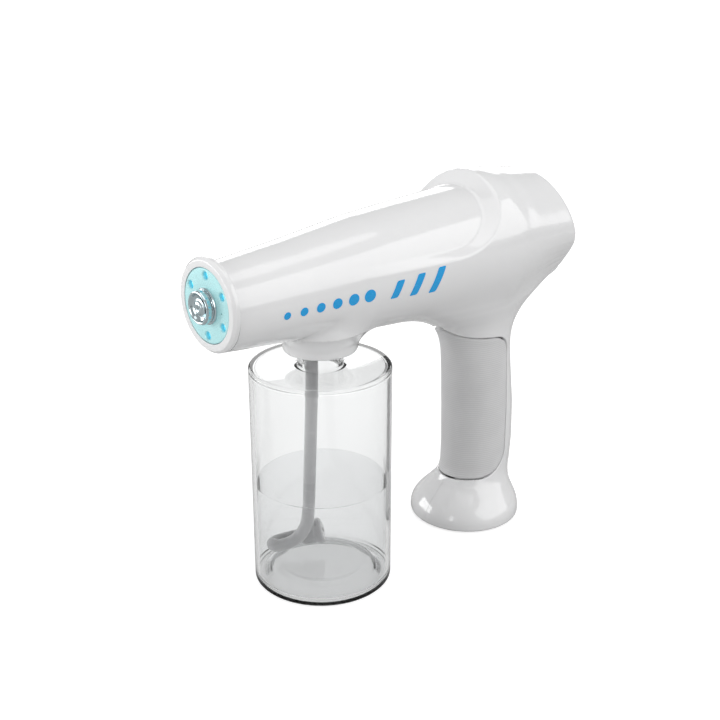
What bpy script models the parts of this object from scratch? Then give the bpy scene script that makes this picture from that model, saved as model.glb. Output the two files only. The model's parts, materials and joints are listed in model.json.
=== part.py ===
"""Cordless electrostatic disinfectant sprayer, built as separate pieces.

Metres, +Z up.  The origin is the centre of the handle's round foot, on the
ground.  The nozzle faces -Y and the bottle stands in front of the handle.
In the tables below, y is measured in millimetres from the bottle's axis.
"""
import math

import bmesh
import bpy
from mathutils import Matrix, Vector

# ---------------------------------------------------------------- dimensions
MM = 0.001
BOTTLE_Y = -97.8          # bottle axis, from the foot's centre
GAP = 0.3                 # clearance between neighbouring pieces
WALL = 2.2                # moulded wall
BARREL_Z = 148.3          # barrel axis height
FRONT_Z = 149.9           # nozzle axis height
FRONT_Y = -58.2           # reference plane of the nozzle plate
BODY_FRONT_Y = -56.2      # where housing and cover start
FRONT_R = 20.5            # barrel radius at the nozzle end
REAR_Y = 140.0            # centre of the rear opening
REAR_Z = 150.5
REAR_R = 30.5
REAR_TILT = 15.0          # the rear opening leans forward at the top
STEP_Y = 95.0             # where the cover meets the fuller rear body
COVER_LINE_Z = 154.3      # lower edge of the cover on the barrel's side
STEP_RISE = 3.3           # how much fuller the rear body is

BOTTLE_R = 33.0
BOTTLE_H = 108.8
NECK_R = 10.6
NECK_BORE = 8.4
NECK_TOP = 124.6
THREAD_PITCH = 4.0
THREAD_TURNS = 1.25
COLLAR_R = 17.1
COLLAR_Z = 116.4
COLLAR_BORE = 12.6
HOSE_Y = -5.0
HOSE_R = 2.95
HOSE_BORE = 2.15

FOOT_R = 28.6
FOOT_Y = 97.8
GRIP_GAP = 1.0            # seam around the squeeze grip
GRIP_WALL = 2.4
PIVOT_Y = 91.0
PIVOT_Z = 28.0
CORE_Y = 107.5
CELL_R = 9.1
CELL_Z0, CELL_Z1 = 27.0, 92.0
SWITCH_Z = 92.0

LED_RING_R = 13.1
PLATE_R = 16.0
PUMP_Z = 152.0
NAME = "disinfectant_sprayer"
FINENESS = 0.57           # scales the facet count of round pieces

# ------------------------------------------------------------------- scene
for old in list(bpy.data.objects):
    bpy.data.objects.remove(old, do_unlink=True)
parts = bpy.data.collections.new(NAME)
cutters = bpy.data.collections.new("cutters")
bpy.context.scene.collection.children.link(parts)
bpy.context.scene.collection.children.link(cutters)


def point(x, y, z):
    return Vector((x * MM, (y + BOTTLE_Y) * MM, z * MM))


def material(name, colour, rough, metal=0.0, alpha=1.0):
    mat = bpy.data.materials.new(name)
    mat.use_nodes = True
    node = mat.node_tree.nodes["Principled BSDF"]
    node.inputs["Base Color"].default_value = (*colour, 1.0)
    node.inputs["Roughness"].default_value = rough
    node.inputs["Metallic"].default_value = metal
    node.inputs["Alpha"].default_value = alpha
    return mat


WHITE = material("gloss_white", (0.83, 0.83, 0.84), 0.18)
GREY = material("grip_grey", (0.58, 0.58, 0.59), 0.6)
CHROME = material("chrome", (0.75, 0.80, 0.82), 0.1, 1.0)
SATIN = material("satin_plate", (0.62, 0.70, 0.73), 0.35, 0.4)
CYAN = material("cyan_lens", (0.15, 0.75, 0.95), 0.25)
CLEAR = material("clear_bottle", (0.93, 0.95, 0.96), 0.05, 0.0, 0.3)
RUBBER = material("grey_rubber", (0.10, 0.10, 0.11), 0.75)
TUBE = material("milky_tube", (0.72, 0.72, 0.72), 0.35)
STEEL = material("steel", (0.62, 0.62, 0.64), 0.3, 1.0)
BRASS = material("brass", (0.80, 0.62, 0.30), 0.3, 1.0)
BOARD = material("green_board", (0.03, 0.25, 0.10), 0.45)
BLACK = material("black_plastic", (0.03, 0.03, 0.035), 0.4)
BLUE = material("blue_wrap", (0.05, 0.16, 0.50), 0.4)


def register(obj, mat=None, cutter=False):
    (cutters if cutter else parts).objects.link(obj)
    if cutter:
        obj.hide_render = True
        obj.display_type = "WIRE"
    if mat:
        obj.data.materials.append(mat)
    return obj


def from_bmesh(name, bm, mat, cutter=False, matrix=None, smooth=True):
    bmesh.ops.recalc_face_normals(bm, faces=bm.faces)
    mesh = bpy.data.meshes.new(name)
    bm.to_mesh(mesh)
    bm.free()
    if smooth:
        mesh.shade_smooth()
        mesh.set_sharp_from_angle(angle=math.radians(35))
    obj = bpy.data.objects.new(name, mesh)
    if matrix is not None:
        obj.matrix_world = matrix
    return register(obj, mat, cutter)


def box(name, x0, x1, y0, y1, z0, z1, mat, cutter=False, bevel=0.0, matrix=None):
    """Box between two corners; y from the bottle axis unless a matrix is given."""
    bm = bmesh.new()
    bmesh.ops.create_cube(bm, size=1.0)
    bmesh.ops.scale(bm, vec=((x1 - x0) * MM, (y1 - y0) * MM, (z1 - z0) * MM), verts=bm.verts)
    mid = Vector(((x0 + x1) / 2 * MM, (y0 + y1) / 2 * MM, (z0 + z1) / 2 * MM))
    if matrix is None:
        matrix = Matrix.Translation(mid + Vector((0, BOTTLE_Y * MM, 0)))
    else:
        matrix = matrix @ Matrix.Translation(mid)
    obj = from_bmesh(name, bm, mat, cutter, matrix, smooth=False)
    if bevel:
        mod = obj.modifiers.new("round", "BEVEL")
        mod.width = bevel * MM
        mod.segments = 2
        mod.limit_method = "ANGLE"
    return obj


def rod(name, radius, length, mat, matrix, cutter=False, sides=24):
    """Cylinder from local z = 0 to z = length."""
    sides = max(10, round(sides * FINENESS))
    bm = bmesh.new()
    bmesh.ops.create_cone(bm, cap_ends=True, segments=sides, radius1=radius * MM,
                          radius2=radius * MM, depth=length * MM)
    bmesh.ops.translate(bm, vec=(0, 0, length * MM / 2), verts=bm.verts)
    return from_bmesh(name, bm, mat, cutter, matrix)


def turned(name, profile, mat, matrix, steps=32, cutter=False):
    """Profile of (radius, height) in mm, outer side from top to bottom, spun
    about local z.  A profile that does not reach the axis is closed on itself."""
    steps = max(10, round(steps * FINENESS))
    mesh = bpy.data.meshes.new(name)
    verts = [(r * MM, 0.0, z * MM) for r, z in profile]
    edges = [(i, i + 1) for i in range(len(verts) - 1)]
    if profile[0][0] > 0 or profile[-1][0] > 0:
        edges.append((len(verts) - 1, 0))
    mesh.from_pydata(verts, edges, [])
    obj = bpy.data.objects.new(name, mesh)
    obj.matrix_world = matrix
    register(obj, mat, cutter)
    mod = obj.modifiers.new("spin", "SCREW")
    mod.axis = "Z"
    mod.angle = math.tau
    mod.steps = steps
    mod.render_steps = steps
    mod.use_merge_vertices = True
    mod.merge_threshold = 0.00001
    mod.use_smooth_shade = True
    return obj


def loft(name, rings, mat, cutter=False):
    """Closed solid through closed sections of equal point counts."""
    bm = bmesh.new()
    rows = [[bm.verts.new(p) for p in ring] for ring in rings]
    for low, high in zip(rows, rows[1:]):
        n = len(low)
        for i in range(n):
            j = (i + 1) % n
            bm.faces.new((low[i], low[j], high[j], high[i]))
    bm.faces.new(reversed(rows[0]))
    bm.faces.new(rows[-1])
    return from_bmesh(name, bm, mat, cutter)


def flat_outline(name, points, thickness, mat, matrix, cutter=False):
    """A 2D outline filled and extruded about its own plane, as a mesh."""
    curve = bpy.data.curves.new(name, "CURVE")
    curve.dimensions = "2D"
    curve.fill_mode = "BOTH"
    curve.extrude = thickness * MM / 2
    spline = curve.splines.new("POLY")
    spline.points.add(len(points) - 1)
    for item, (u, v) in zip(spline.points, points):
        item.co = (u * MM, v * MM, 0.0, 1.0)
    spline.use_cyclic_u = True
    return to_mesh(name, curve, mat, matrix, cutter)


def to_mesh(name, curve, mat, matrix, cutter=False):
    temp = bpy.data.objects.new(name + "_curve", curve)
    temp.matrix_world = matrix
    cutters.objects.link(temp)
    bpy.context.view_layer.update()
    mesh = bpy.data.meshes.new_from_object(temp.evaluated_get(bpy.context.evaluated_depsgraph_get()))
    bm = bmesh.new()
    bm.from_mesh(mesh)
    bmesh.ops.remove_doubles(bm, verts=bm.verts, dist=0.000005)
    bmesh.ops.recalc_face_normals(bm, faces=bm.faces)
    bm.to_mesh(mesh)
    bm.free()
    mesh.name = name
    matrix = temp.matrix_world.copy()
    bpy.data.objects.remove(temp, do_unlink=True)
    mesh.materials.clear()
    obj = bpy.data.objects.new(name, mesh)
    obj.matrix_world = matrix
    return register(obj, mat, cutter)


def wire(name, points, radius, mat, cutter=False, resolution=1, smooth_steps=0):
    """Round wire or hose through points (x, y, z in mm, y from the bottle)."""
    if smooth_steps:
        points = rounded(points, smooth_steps)
    curve = bpy.data.curves.new(name, "CURVE")
    curve.dimensions = "3D"
    curve.bevel_depth = radius * MM
    curve.bevel_resolution = resolution
    curve.use_fill_caps = True
    spline = curve.splines.new("POLY")
    spline.points.add(len(points) - 1)
    for item, p in zip(spline.points, points):
        item.co = (*point(*p), 1.0)
    return to_mesh(name, curve, mat, Matrix.Identity(4), cutter)


def rounded(points, steps):
    """Catmull-Rom points through a short list of control points."""
    pts = [Vector(p) for p in points]
    pts = [pts[0] * 2 - pts[1]] + pts + [pts[-1] * 2 - pts[-2]]
    out = []
    for a, b, c, d in zip(pts, pts[1:], pts[2:], pts[3:]):
        for k in range(steps):
            t = k / steps
            out.append(0.5 * ((2 * b) + (c - a) * t + (2 * a - 5 * b + 4 * c - d) * t * t
                              + (3 * b - a - 3 * c + d) * t ** 3))
    out.append(pts[-2])
    return [tuple(p) for p in out]


def boolean(obj, cutter, operation="DIFFERENCE"):
    mod = obj.modifiers.new(operation.lower(), "BOOLEAN")
    mod.operation = operation
    mod.solver = "EXACT"
    mod.object = cutter
    return mod


def at(x, y, z, rotation=None):
    base = Matrix.Translation(point(x, y, z))
    return base if rotation is None else base @ rotation


FORWARD = Matrix.Rotation(math.radians(90), 4, "X")      # local z -> -Y
BACKWARD = Matrix.Rotation(math.radians(-90), 4, "X")    # local z -> +Y
SIDE = Matrix.Rotation(math.radians(90), 4, "Y")         # local z -> +X
SIDE_VIEW = Matrix(((0, 0, 1, 0), (1, 0, 0, 0), (0, 1, 0, 0), (0, 0, 0, 1)))  # (u, v) -> (Y, Z)
REAR = at(0, REAR_Y, REAR_Z, Matrix.Rotation(math.radians(-(90 - REAR_TILT)), 4, "X"))


def blend(a, b, t):
    t = min(max(t, 0.0), 1.0)
    return a + (b - a) * t * t * (3 - 2 * t)


def table(rows, value):
    """Smooth interpolation in a table whose first column is the key."""
    if value <= rows[0][0]:
        return rows[0][1:]
    for low, high in zip(rows, rows[1:]):
        if value <= high[0]:
            t = (value - low[0]) / (high[0] - low[0])
            return tuple(a + (b - a) * t for a, b in zip(low[1:], high[1:]))
    return rows[-1][1:]


# ---------------------------------------------------------- barrel sections
# y from the bottle axis, centre height, radius, lean in degrees
BARREL = [
    (BODY_FRONT_Y, 148.9, 19.8, 0), (-50, 148.3, 19.9, 0), (-42, 148.05, 20.25, 0),
    (-34, 148.0, 21.0, 0), (-18, 148.0, 22.6, 0), (0, 148.05, 24.65, 0),
    (20, 148.3, 26.6, 0), (45, 148.3, 28.3, 0),
    (80, 148.3, 30.1, 0), (95, 148.3, 30.8, 0),
]
BODY_REAR = [
    (100, 151.8, 33.3, 0), (110, 151.7, 32.7, 3), (120, 151.3, 31.9, 7),
    (130, 150.9, 31.2, 11), (138.6, 150.55, 30.6, REAR_TILT),
]
SIDES = 32


FLANK = [(0, 0.0), (88, 0.0), (107, 0.055), (125, 0.065), (145, 0.06), (160, 0.03), (172, 0.0), (180, 0.0)]


def flank(angle, y):
    """Share by which the lower flanks draw in towards the rear rim."""
    degrees = abs(math.degrees((angle + math.pi) % math.tau - math.pi))
    for low, high in zip(FLANK, FLANK[1:]):
        if degrees <= high[0]:
            share = low[1] + (high[1] - low[1]) * (degrees - low[0]) / (high[0] - low[0])
            return share * blend(0, 1, (y - 104) / 34)
    return 0.0


def barrel_ring(y, zc, radius, lean):
    slope = math.tan(math.radians(lean))
    ring = []
    for k in range(SIDES):
        a = math.tau * (k + 0.5) / SIDES
        r = radius * (1 - flank(a, y))
        ring.append(point(r * math.sin(a), y - slope * r * math.cos(a), zc + r * math.cos(a)))
    return ring


def fuller(y):
    return STEP_RISE * blend(0, 1, (y + 10) / 100)


body_rows = [(y, zc + fuller(y), r + fuller(y), lean) for y, zc, r, lean in BARREL] + BODY_REAR
body_rows.append((REAR_Y + 0.6, REAR_Z, REAR_R - 0.7, REAR_TILT))
cover_rows = [(y, zc, r, lean) for y, zc, r, lean in BARREL] + [(102, 148.3, 31.1, 0)]
cavity_rows = [(BODY_FRONT_Y - 3, 148.9, 19.8 - WALL, 0)] + [
    (y, zc, r - WALL, lean) for y, zc, r, lean in BARREL[1:]] + [
    (y, zc, r - WALL, lean) for y, zc, r, lean in BODY_REAR[1:-1]] + [
    (134, REAR_Z + 0.2, REAR_R - 3.4, REAR_TILT)]

# ---------------------------------------------------------- handle sections
# height, front y, back y, half width
HANDLE = [
    (0.2, FOOT_Y - 28.1, FOOT_Y + 28.1, 28.1), (0.9, FOOT_Y - FOOT_R, FOOT_Y + FOOT_R, FOOT_R),
    (4.2, FOOT_Y - FOOT_R, FOOT_Y + FOOT_R, FOOT_R), (6.5, 69.9, 126.1, 27.9),
    (9, 71.0, 125.6, 26.5), (12, 72.6, 124.6, 24.2), (16, 76.5, 123.4, 20.6),
    (20, 81.2, 123.9, 17.6), (24, 83.4, 124.5, 16.5), (28, 84.5, 125.2, 16.3),
    (40, 84.9, 126.0, 16.5), (60, 84.3, 125.5, 16.5),
    (80, 83.3, 123.1, 16.0), (92, 82.4, 121.9, 15.9),
    (101, 79.9, 121.8, 16.4), (105, 77.5, 122.4, 16.9), (109, 73.5, 124.3, 17.8),
    (113, 66.5, 127.6, 19.2), (117, 57.0, 132.0, 21.0), (121, 47.0, 137.6, 22.6),
    (125, 40.0, 142.0, 23.6), (130, 37.0, 143.0, 23.8),
]
TURN = 24


def handle_ring(z, front, back, half, inset=0.0):
    yc, ry, rx = (front + back) / 2, (back - front) / 2 - inset, half - inset
    return [point(rx * math.cos(math.tau * (k + 0.5) / TURN), yc + ry * math.sin(math.tau * (k + 0.5) / TURN), z)
            for k in range(TURN)]


def side_polygon(rows):
    return [(y + BOTTLE_Y, z) for y, z in rows]


def arc(cy, cz, ry, rz, a0, a1, n):
    return [(cy + ry * math.cos(math.radians(a0 + (a1 - a0) * k / n)),
             cz + rz * math.sin(math.radians(a0 + (a1 - a0) * k / n))) for k in range(n + 1)]


def cover_region(inset):
    """Side view of the area over the barrel taken by the cover."""
    lower = COVER_LINE_Z + inset
    rows = [(BODY_FRONT_Y - 5, 200), (BODY_FRONT_Y - 5, lower)]
    rows += arc(56.0, lower + 30, 34.0 - inset, 30.0, -90, -12, 12)
    rows.append((STEP_Y + 3.0 - inset, 200))
    return side_polygon(rows)


def grip_region(inset):
    """Side view of the squeeze grip's outline."""
    low, high, back = 23.4 + inset, 103.6 - inset, 111.0 - inset
    rows = [(40, low), (88, low)]
    rows += arc(back - 17, low + 13, 17, 13, -90, 0, 8)[1:]
    rows += arc(back - 12, high - 12, 12, 10.5, 0, 84, 7)
    rows += [(89, high - 0.2), (82, high + 1.2), (77.5, high + 3.2), (71, high + 7.6), (66, high + 8.2), (40, high + 8.4)]
    return side_polygon(rows)


# forms that are joined to or cut from the shells
form_handle = loft("form_handle", [handle_ring(*r) for r in HANDLE], None, True)
form_grip_inner = loft("form_grip_inner", [handle_ring(z, f, b, h, GRIP_WALL)
                                           for z, f, b, h in HANDLE if z > 10], None, True)
hollow_handle = loft("hollow_handle", [handle_ring(z, f, b, h, WALL) for z, f, b, h in HANDLE
                                       if 6 < z < 122 and z not in (28, 101, 109, 117)], None, True)
hollow_barrel = loft("hollow_barrel", [barrel_ring(*r) for r in cavity_rows], None, True)
hollow_rear = rod("hollow_rear", REAR_R - 3.5, 12, None, REAR @ Matrix.Translation((0, 0, -8 * MM)), True, 44)
hollow_foot = rod("hollow_foot", FOOT_R - 2.4, 9.5, None, at(0, FOOT_Y, -2.5), True, 36)
form_collar = turned("form_collar", [(0, 136), (20.5, 136), (20.5, 126.5), (18.6, 123.6), (17.4, 120.5),
                                     (COLLAR_R, COLLAR_Z + 0.6), (COLLAR_R - 0.6, COLLAR_Z), (0, COLLAR_Z)],
                     None, at(0, 0, 0), 34, True)
hollow_collar = rod("hollow_collar", 15.3, 28, None, at(0, 0, 105, Matrix.Rotation(math.radians(4), 4, "Z")), True, 38)
cut_cover = flat_outline("cut_cover", cover_region(0.0), 120, None, SIDE_VIEW, True)
keep_cover = flat_outline("keep_cover", cover_region(GAP), 120, None, SIDE_VIEW, True)
cut_grip = flat_outline("cut_grip", grip_region(0.0), 90, None, SIDE_VIEW, True)
keep_grip = flat_outline("keep_grip", grip_region(GRIP_GAP), 90, None, SIDE_VIEW, True)

SCREWS = [(-36.0, 134.5, 11.6), (45.0, 131.5, 18.6), (117.0, 161.0, 29.0), (96.0, 9.6, 23.5)]
shells = {}
for side, label in ((-1, "housing_left"), (1, "housing_right")):
    shell = loft(label, [barrel_ring(*r) for r in body_rows], WHITE)
    boolean(shell, form_handle, "UNION")
    boolean(shell, form_collar, "UNION")
    for cutter in (hollow_barrel, hollow_handle, hollow_rear, hollow_foot, hollow_collar):
        boolean(shell, cutter)
    for index, (sy, sz, reach) in enumerate(SCREWS):
        boss = rod(f"boss_{label}_{index}", 3.7, reach - 1.0, None, at(0, sy, sz, SIDE if side > 0 else
                   Matrix.Rotation(math.radians(-90), 4, "Y")), True, 20)
        boolean(shell, boss, "UNION")
        if side < 0:
            well = rod(f"well_{index}", 3.05, 40, None,
                       at(-(reach - 3.5) - 40, sy, sz, SIDE), True, 20)
            boolean(shell, well)
            bore = rod(f"bore_{index}", 1.8, 40, None, at(-39, sy, sz, SIDE), True, 16)
        else:
            bore = rod(f"pilot_{index}", 1.8, 12 if reach < 15 else 14, None, at(-3, sy, sz, SIDE), True, 16)
        boolean(shell, bore)
    boolean(shell, cut_cover)
    boolean(shell, cut_grip)
    half = box(f"half_{label}", *((-60, GAP / 2) if side > 0 else (-GAP / 2, 60)), -90, 180, -20, 220, None, True)
    boolean(shell, half)
    shells[label] = shell

cover = loft("barrel_cover", [barrel_ring(*r) for r in cover_rows], WHITE)
cover_hollow_rows = [(y, zc, r - WALL, lean) for y, zc, r, lean in BARREL[1:]]
cover_hollow = loft("cover_hollow", [barrel_ring(BODY_FRONT_Y - 3, 148.9, 19.8 - WALL, 0)]
                    + [barrel_ring(*r) for r in cover_hollow_rows]
                    + [barrel_ring(106, 148.3, 31.1 - WALL, 0)], None, True)
boolean(cover, keep_cover, "INTERSECT")
boolean(cover, cover_hollow)

# ------------------------------------------------------------ squeeze grip
grip = loft("squeeze_trigger", [handle_ring(*r) for r in HANDLE if r[0] > 10], GREY)
boolean(grip, form_grip_inner)
boolean(grip, keep_grip, "INTERSECT")
for side in (-1, 1):
    lug = box(f"grip_lug_{side}", *sorted((3.6 * side, 6.8 * side)), 86.2, 94.0, PIVOT_Z - 3.0, PIVOT_Z + 3.0, None, True)
    boolean(grip, lug, "UNION")
boolean(grip, rod("grip_bore", 1.8, 20, None, at(-10, PIVOT_Y, PIVOT_Z, SIDE), True, 24))
rod("trigger_pin", 1.5, 14.0, STEEL, at(-7.0, PIVOT_Y, PIVOT_Z, SIDE), sides=24)

core = rod("battery_sleeve", 11.2, 76, BLACK, at(0, CORE_Y, 19), sides=32)
boolean(core, rod("sleeve_bore", CELL_R + 0.4, 90, None, at(0, CORE_Y, 10), True, 32))
boolean(core, box("sleeve_ear", -3.2, 3.2, 88.0, 97.6, PIVOT_Z - 3.4, PIVOT_Z + 3.4, None, True), "UNION")
boolean(core, rod("ear_bore", 1.8, 20, None, at(-10, PIVOT_Y, PIVOT_Z, SIDE), True, 24))

rod("battery_cell", CELL_R, CELL_Z1 - CELL_Z0, BLUE, at(0, CORE_Y, CELL_Z0), sides=32)
turned("battery_contact_top", [(0, 95.0), (8.6, 95.0), (8.6, 94.1), (3.0, 94.1), (3.0, 92.3), (0, 92.3)],
       STEEL, at(0, CORE_Y, 0), 20)
rod("battery_contact_bottom", 8.6, 0.9, STEEL, at(0, CORE_Y, 20.6), sides=24)


def coil(cx, cy, cz, radius, turns, pitch, per_turn, axis="Z"):
    out = []
    for k in range(int(turns * per_turn) + 1):
        a = math.tau * k / per_turn
        rise = pitch * k / per_turn
        if axis == "Z":
            out.append((cx + radius * math.cos(a), cy + radius * math.sin(a), cz + rise))
        else:
            out.append((cx + radius * math.cos(a), cy + rise, cz + radius * math.sin(a)))
    return out


wire("battery_spring", coil(0, CORE_Y, 22.4, 5.0, 2.5, 1.55, 12), 0.45, STEEL, resolution=1)
wire("trigger_spring", coil(0, 88.2, 70.0, 3.0, 4.0, 1.8, 10, "Y"), 0.4, STEEL, resolution=1)

switch = box("micro_switch", -3.2, 3.2, 88.6, 95.9, SWITCH_Z - 6.4, SWITCH_Z + 6.4, BLACK, bevel=0.3)
boolean(switch, rod("switch_bore", 1.15, 5, None, at(0, 91.6, SWITCH_Z, FORWARD), True, 16))
rod("switch_plunger", 0.8, 4.5, CHROME, at(0, 90.0, SWITCH_Z, FORWARD), sides=16)

# -------------------------------------------------------------------- foot
foot = rod("foot_plate", FOOT_R - 2.6, 2.0, WHITE, at(0, FOOT_Y, 1.7), sides=36)
FOOT_SCREWS = [(-12.0, 0.0), (12.0, 0.0)]
pad = turned("foot_pad", [(0, 1.4), (24.0, 1.4), (24.8, 0.9), (24.8, 0.4), (24.2, 0), (0, 0)],
             RUBBER, at(0, FOOT_Y, 0), 36)

# ------------------------------------------------------------- nozzle end
turned("front_bezel", [(PLATE_R + 0.8, 59.8), (FRONT_R - 0.9, 59.8), (FRONT_R, 59.0), (FRONT_R, 56.5),
                       (PLATE_R + 0.4, 56.5), (PLATE_R + 0.4, 59.4)],
       WHITE, at(0, 0, FRONT_Z, FORWARD), 44)
plate = rod("nozzle_plate", PLATE_R, 1.8, SATIN, at(0, FRONT_Y + 0.6, FRONT_Z, FORWARD), sides=44)
boolean(plate, rod("plate_bore", 6.3, 8, None, at(0, FRONT_Y + 4, FRONT_Z, FORWARD), True, 32))
light = turned("led_light_ring", [(11.0, 56.3), (15.2, 56.3), (15.2, 55.0), (11.0, 55.0)], CYAN,
               at(0, 0, FRONT_Z, FORWARD), 36)
for k in range(6):
    a = math.tau * k / 6
    spot = (LED_RING_R * math.sin(a), LED_RING_R * math.cos(a))
    boolean(plate, rod(f"plate_hole_{k}", 1.85, 8, None, at(spot[0], FRONT_Y + 4, FRONT_Z + spot[1], FORWARD), True, 20))
    stud = turned(f"light_stud_{k}", [(0, 58.9), (0.9, 58.7), (1.5, 58.2), (1.5, 55.6), (0, 55.6)], None,
                  at(spot[0], 0, FRONT_Z + spot[1], FORWARD), 16, True)
    boolean(light, stud, "UNION")
turned("led_board", [(10.4, 54.7), (15.2, 54.7), (15.2, 53.5), (10.4, 53.5)], BOARD,
       at(0, 0, FRONT_Z, FORWARD), 32)
turned("nozzle_base", [(3.1, 61.2), (6.4, 61.2), (6.8, 60.8), (7.5, 60.6), (7.9, 60.2),
                       (7.9, 59.7), (6.0, 59.7), (6.0, 55.2), (3.1, 55.2)],
       CHROME, at(0, 0, FRONT_Z, FORWARD), 36)
turned("nozzle_tip", [(0.8, 63.8), (1.6, 64.2), (3.2, 64.0), (3.9, 63.5), (3.8, 62.95), (2.8, 62.95),
                      (2.8, 55.4), (0.8, 55.4)],
       CHROME, at(0, 0, FRONT_Z, FORWARD), 32)
ring = turned("nozzle_ring", [(3.2, 62.2), (5.6, 63.1), (6.4, 64.0), (6.9, 64.0), (7.3, 63.5), (7.3, 62.1), (6.8, 61.5), (3.2, 61.5)],
              CHROME, at(0, 0, FRONT_Z, FORWARD), 36)
for k in range(12):
    a = math.tau * k / 12
    flute = rod(f"ring_flute_{k}", 0.55, 4, None,
                at(7.6 * math.sin(a), -61.2, FRONT_Z + 7.6 * math.cos(a), FORWARD), True, 8)
    boolean(ring, flute)
turned("atomizer_body", [(1.2, 54.9), (5.6, 54.9), (5.6, 52.6), (7.0, 52.2), (7.0, 40), (4.2, 38.6), (4.2, 35.0), (1.2, 35.0)],
       TUBE, at(0, 0, FRONT_Z, FORWARD), 28)
turned("charging_electrode", [(7.3, 50.5), (9.2, 50.5), (9.6, 50.1), (9.6, 47.4), (7.3, 47.4)], BRASS,
       at(0, 0, FRONT_Z, FORWARD), 28)

# ------------------------------------------------------------ pump and tubes
turned("pump_body", [(0, 24.2), (10.0, 24.2), (10.5, 23.7), (10.5, 10.0), (9.0, 10.0), (9.0, 22.0), (0, 22.0)],
       BLACK, at(0, 0, PUMP_Z, FORWARD), 28)
rotor = turned("pump_rotor", [(0, 21.4), (4.4, 21.4), (4.4, 11.0), (1.2, 11.0), (1.2, 7.6), (0, 7.6)],
               TUBE, at(0, 0, PUMP_Z, FORWARD), 24)
for k in range(3):
    a = math.tau * k / 3
    roller = rod(f"rotor_lobe_{k}", 2.6, 8, None, at(5.6 * math.sin(a), -12.2, PUMP_Z + 5.6 * math.cos(a), FORWARD), True, 16)
    boolean(rotor, roller, "UNION")
turned("pump_cover", [(1.6, 9.7), (10.5, 9.7), (10.5, 7.9), (1.6, 7.9)], BLACK, at(0, 0, PUMP_Z, FORWARD), 28)
turned("pump_motor", [(0, 6.8), (9.4, 6.8), (10.0, 6.2), (10.0, -20.5), (9.4, -21.2), (3.0, -21.2), (3.0, -22.6), (0, -22.6)],
       STEEL, at(0, 0, PUMP_Z, FORWARD), 28)
wire("feed_tube", [(0, -34.6, FRONT_Z), (0, -31.5, FRONT_Z), (0, -28, PUMP_Z), (0, -24.6, PUMP_Z)], 1.6, TUBE, smooth_steps=3)
wire("suction_tube", [(0, HOSE_Y, 129.8), (0, HOSE_Y, 132.4), (0, -8.6, 135.2), (0, -13.6, 135.8), (0, -16.8, 138.0), (0, -17, 141.1)],
     2.1, TUBE, smooth_steps=3)
box("high_voltage_module", -12, 12, 28, 58, 137.5, 153.5, BLACK, bevel=1.2)
board = box("main_board", -19, 19, 66, 112, 150.0, 151.6, BOARD)
for index, (x0, x1, y0, y1, high) in enumerate(((-10, 2, 74, 86, 154), (6, 15, 92, 104, 156), (-16, -8, 98, 108, 158.5))):
    boolean(board, box(f"chip_{index}", x0, x1, y0, y1, 150.8, high, None, True), "UNION")
wire("power_cable", [(3, 107, 95.6), (3, 107, 108), (2, 104, 128), (2, 102, 148.9)], 1.3, RUBBER, resolution=1, smooth_steps=3)
wire("motor_cable", [(0, 23.2, PUMP_Z + 3), (0, 30, 157.5), (0, 56, 157.5), (0, 65.0, 151.4)], 1.1, RUBBER, resolution=1, smooth_steps=3)
wire("high_voltage_cable", [(8, 27.1, 146), (12.5, 21, 146), (14.5, 4, 148), (13.5, -20, 150), (12.6, -38, 150), (10.9, -48.5, 150)],
     0.9, RUBBER, resolution=1, smooth_steps=3)

# ----------------------------------------------------- collar, bottle, hose
def helix(radius, z0, turns, per_turn=16, phase=0.0):
    return [(radius * math.cos(phase + math.tau * k / per_turn), radius * math.sin(phase + math.tau * k / per_turn),
             z0 + THREAD_PITCH * k / per_turn) for k in range(int(turns * per_turn) + 1)]


collar = turned("collar_insert", [(0, 129.2), (6.4, 129.2), (6.4, 128.4), (14.9, 128.4), (14.9, 116.8), (COLLAR_BORE, 116.8),
                                  (COLLAR_BORE, 126.4), (0, 126.4)], WHITE, at(0, 0, 0), 32)
boolean(collar, wire("collar_thread", helix(12.55, 118.4, THREAD_TURNS, phase=0.0), 0.9, None, True, 1), "UNION")
boolean(collar, rod("collar_port", 3.2, 10, None, at(0, HOSE_Y, 122), True, 20))
turned("tank_connector", [(0.9, 129.5), (2.8, 129.5), (2.8, 125.0), (1.5, 124.4), (1.5, 116.0), (0.9, 116.0)],
       WHITE, at(0, HOSE_Y, 0), 20)
bottle = turned("bottle", [(0, 7.6), (22.6, 6.6), (27.6, 3.4), (29.8, 3.4), (31.0, 4.8), (31.0, 105.6), (30.0, 106.7),
                           (NECK_BORE + 1.4, 106.7), (NECK_BORE, 108.2), (NECK_BORE, NECK_TOP), (NECK_R, NECK_TOP),
                           (NECK_R, 110.6), (12.2, 108.9), (31.9, BOTTLE_H), (BOTTLE_R, 107.7), (BOTTLE_R, 1.2),
                           (31.9, 0), (25.4, 0), (22.4, 4.4), (0, 5.4)], CLEAR, at(0, 0, 0), 44)
boolean(bottle, wire("bottle_thread", helix(11.05, 116.2, THREAD_TURNS, phase=0.0), 0.9, None, True, 1), "UNION")
turned("bottle_gasket", [(NECK_BORE + 0.2, 126.0), (NECK_R, 126.0), (NECK_R, NECK_TOP + GAP), (NECK_BORE + 0.2, NECK_TOP + GAP)],
       RUBBER, at(0, 0, 0), 32)

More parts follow.
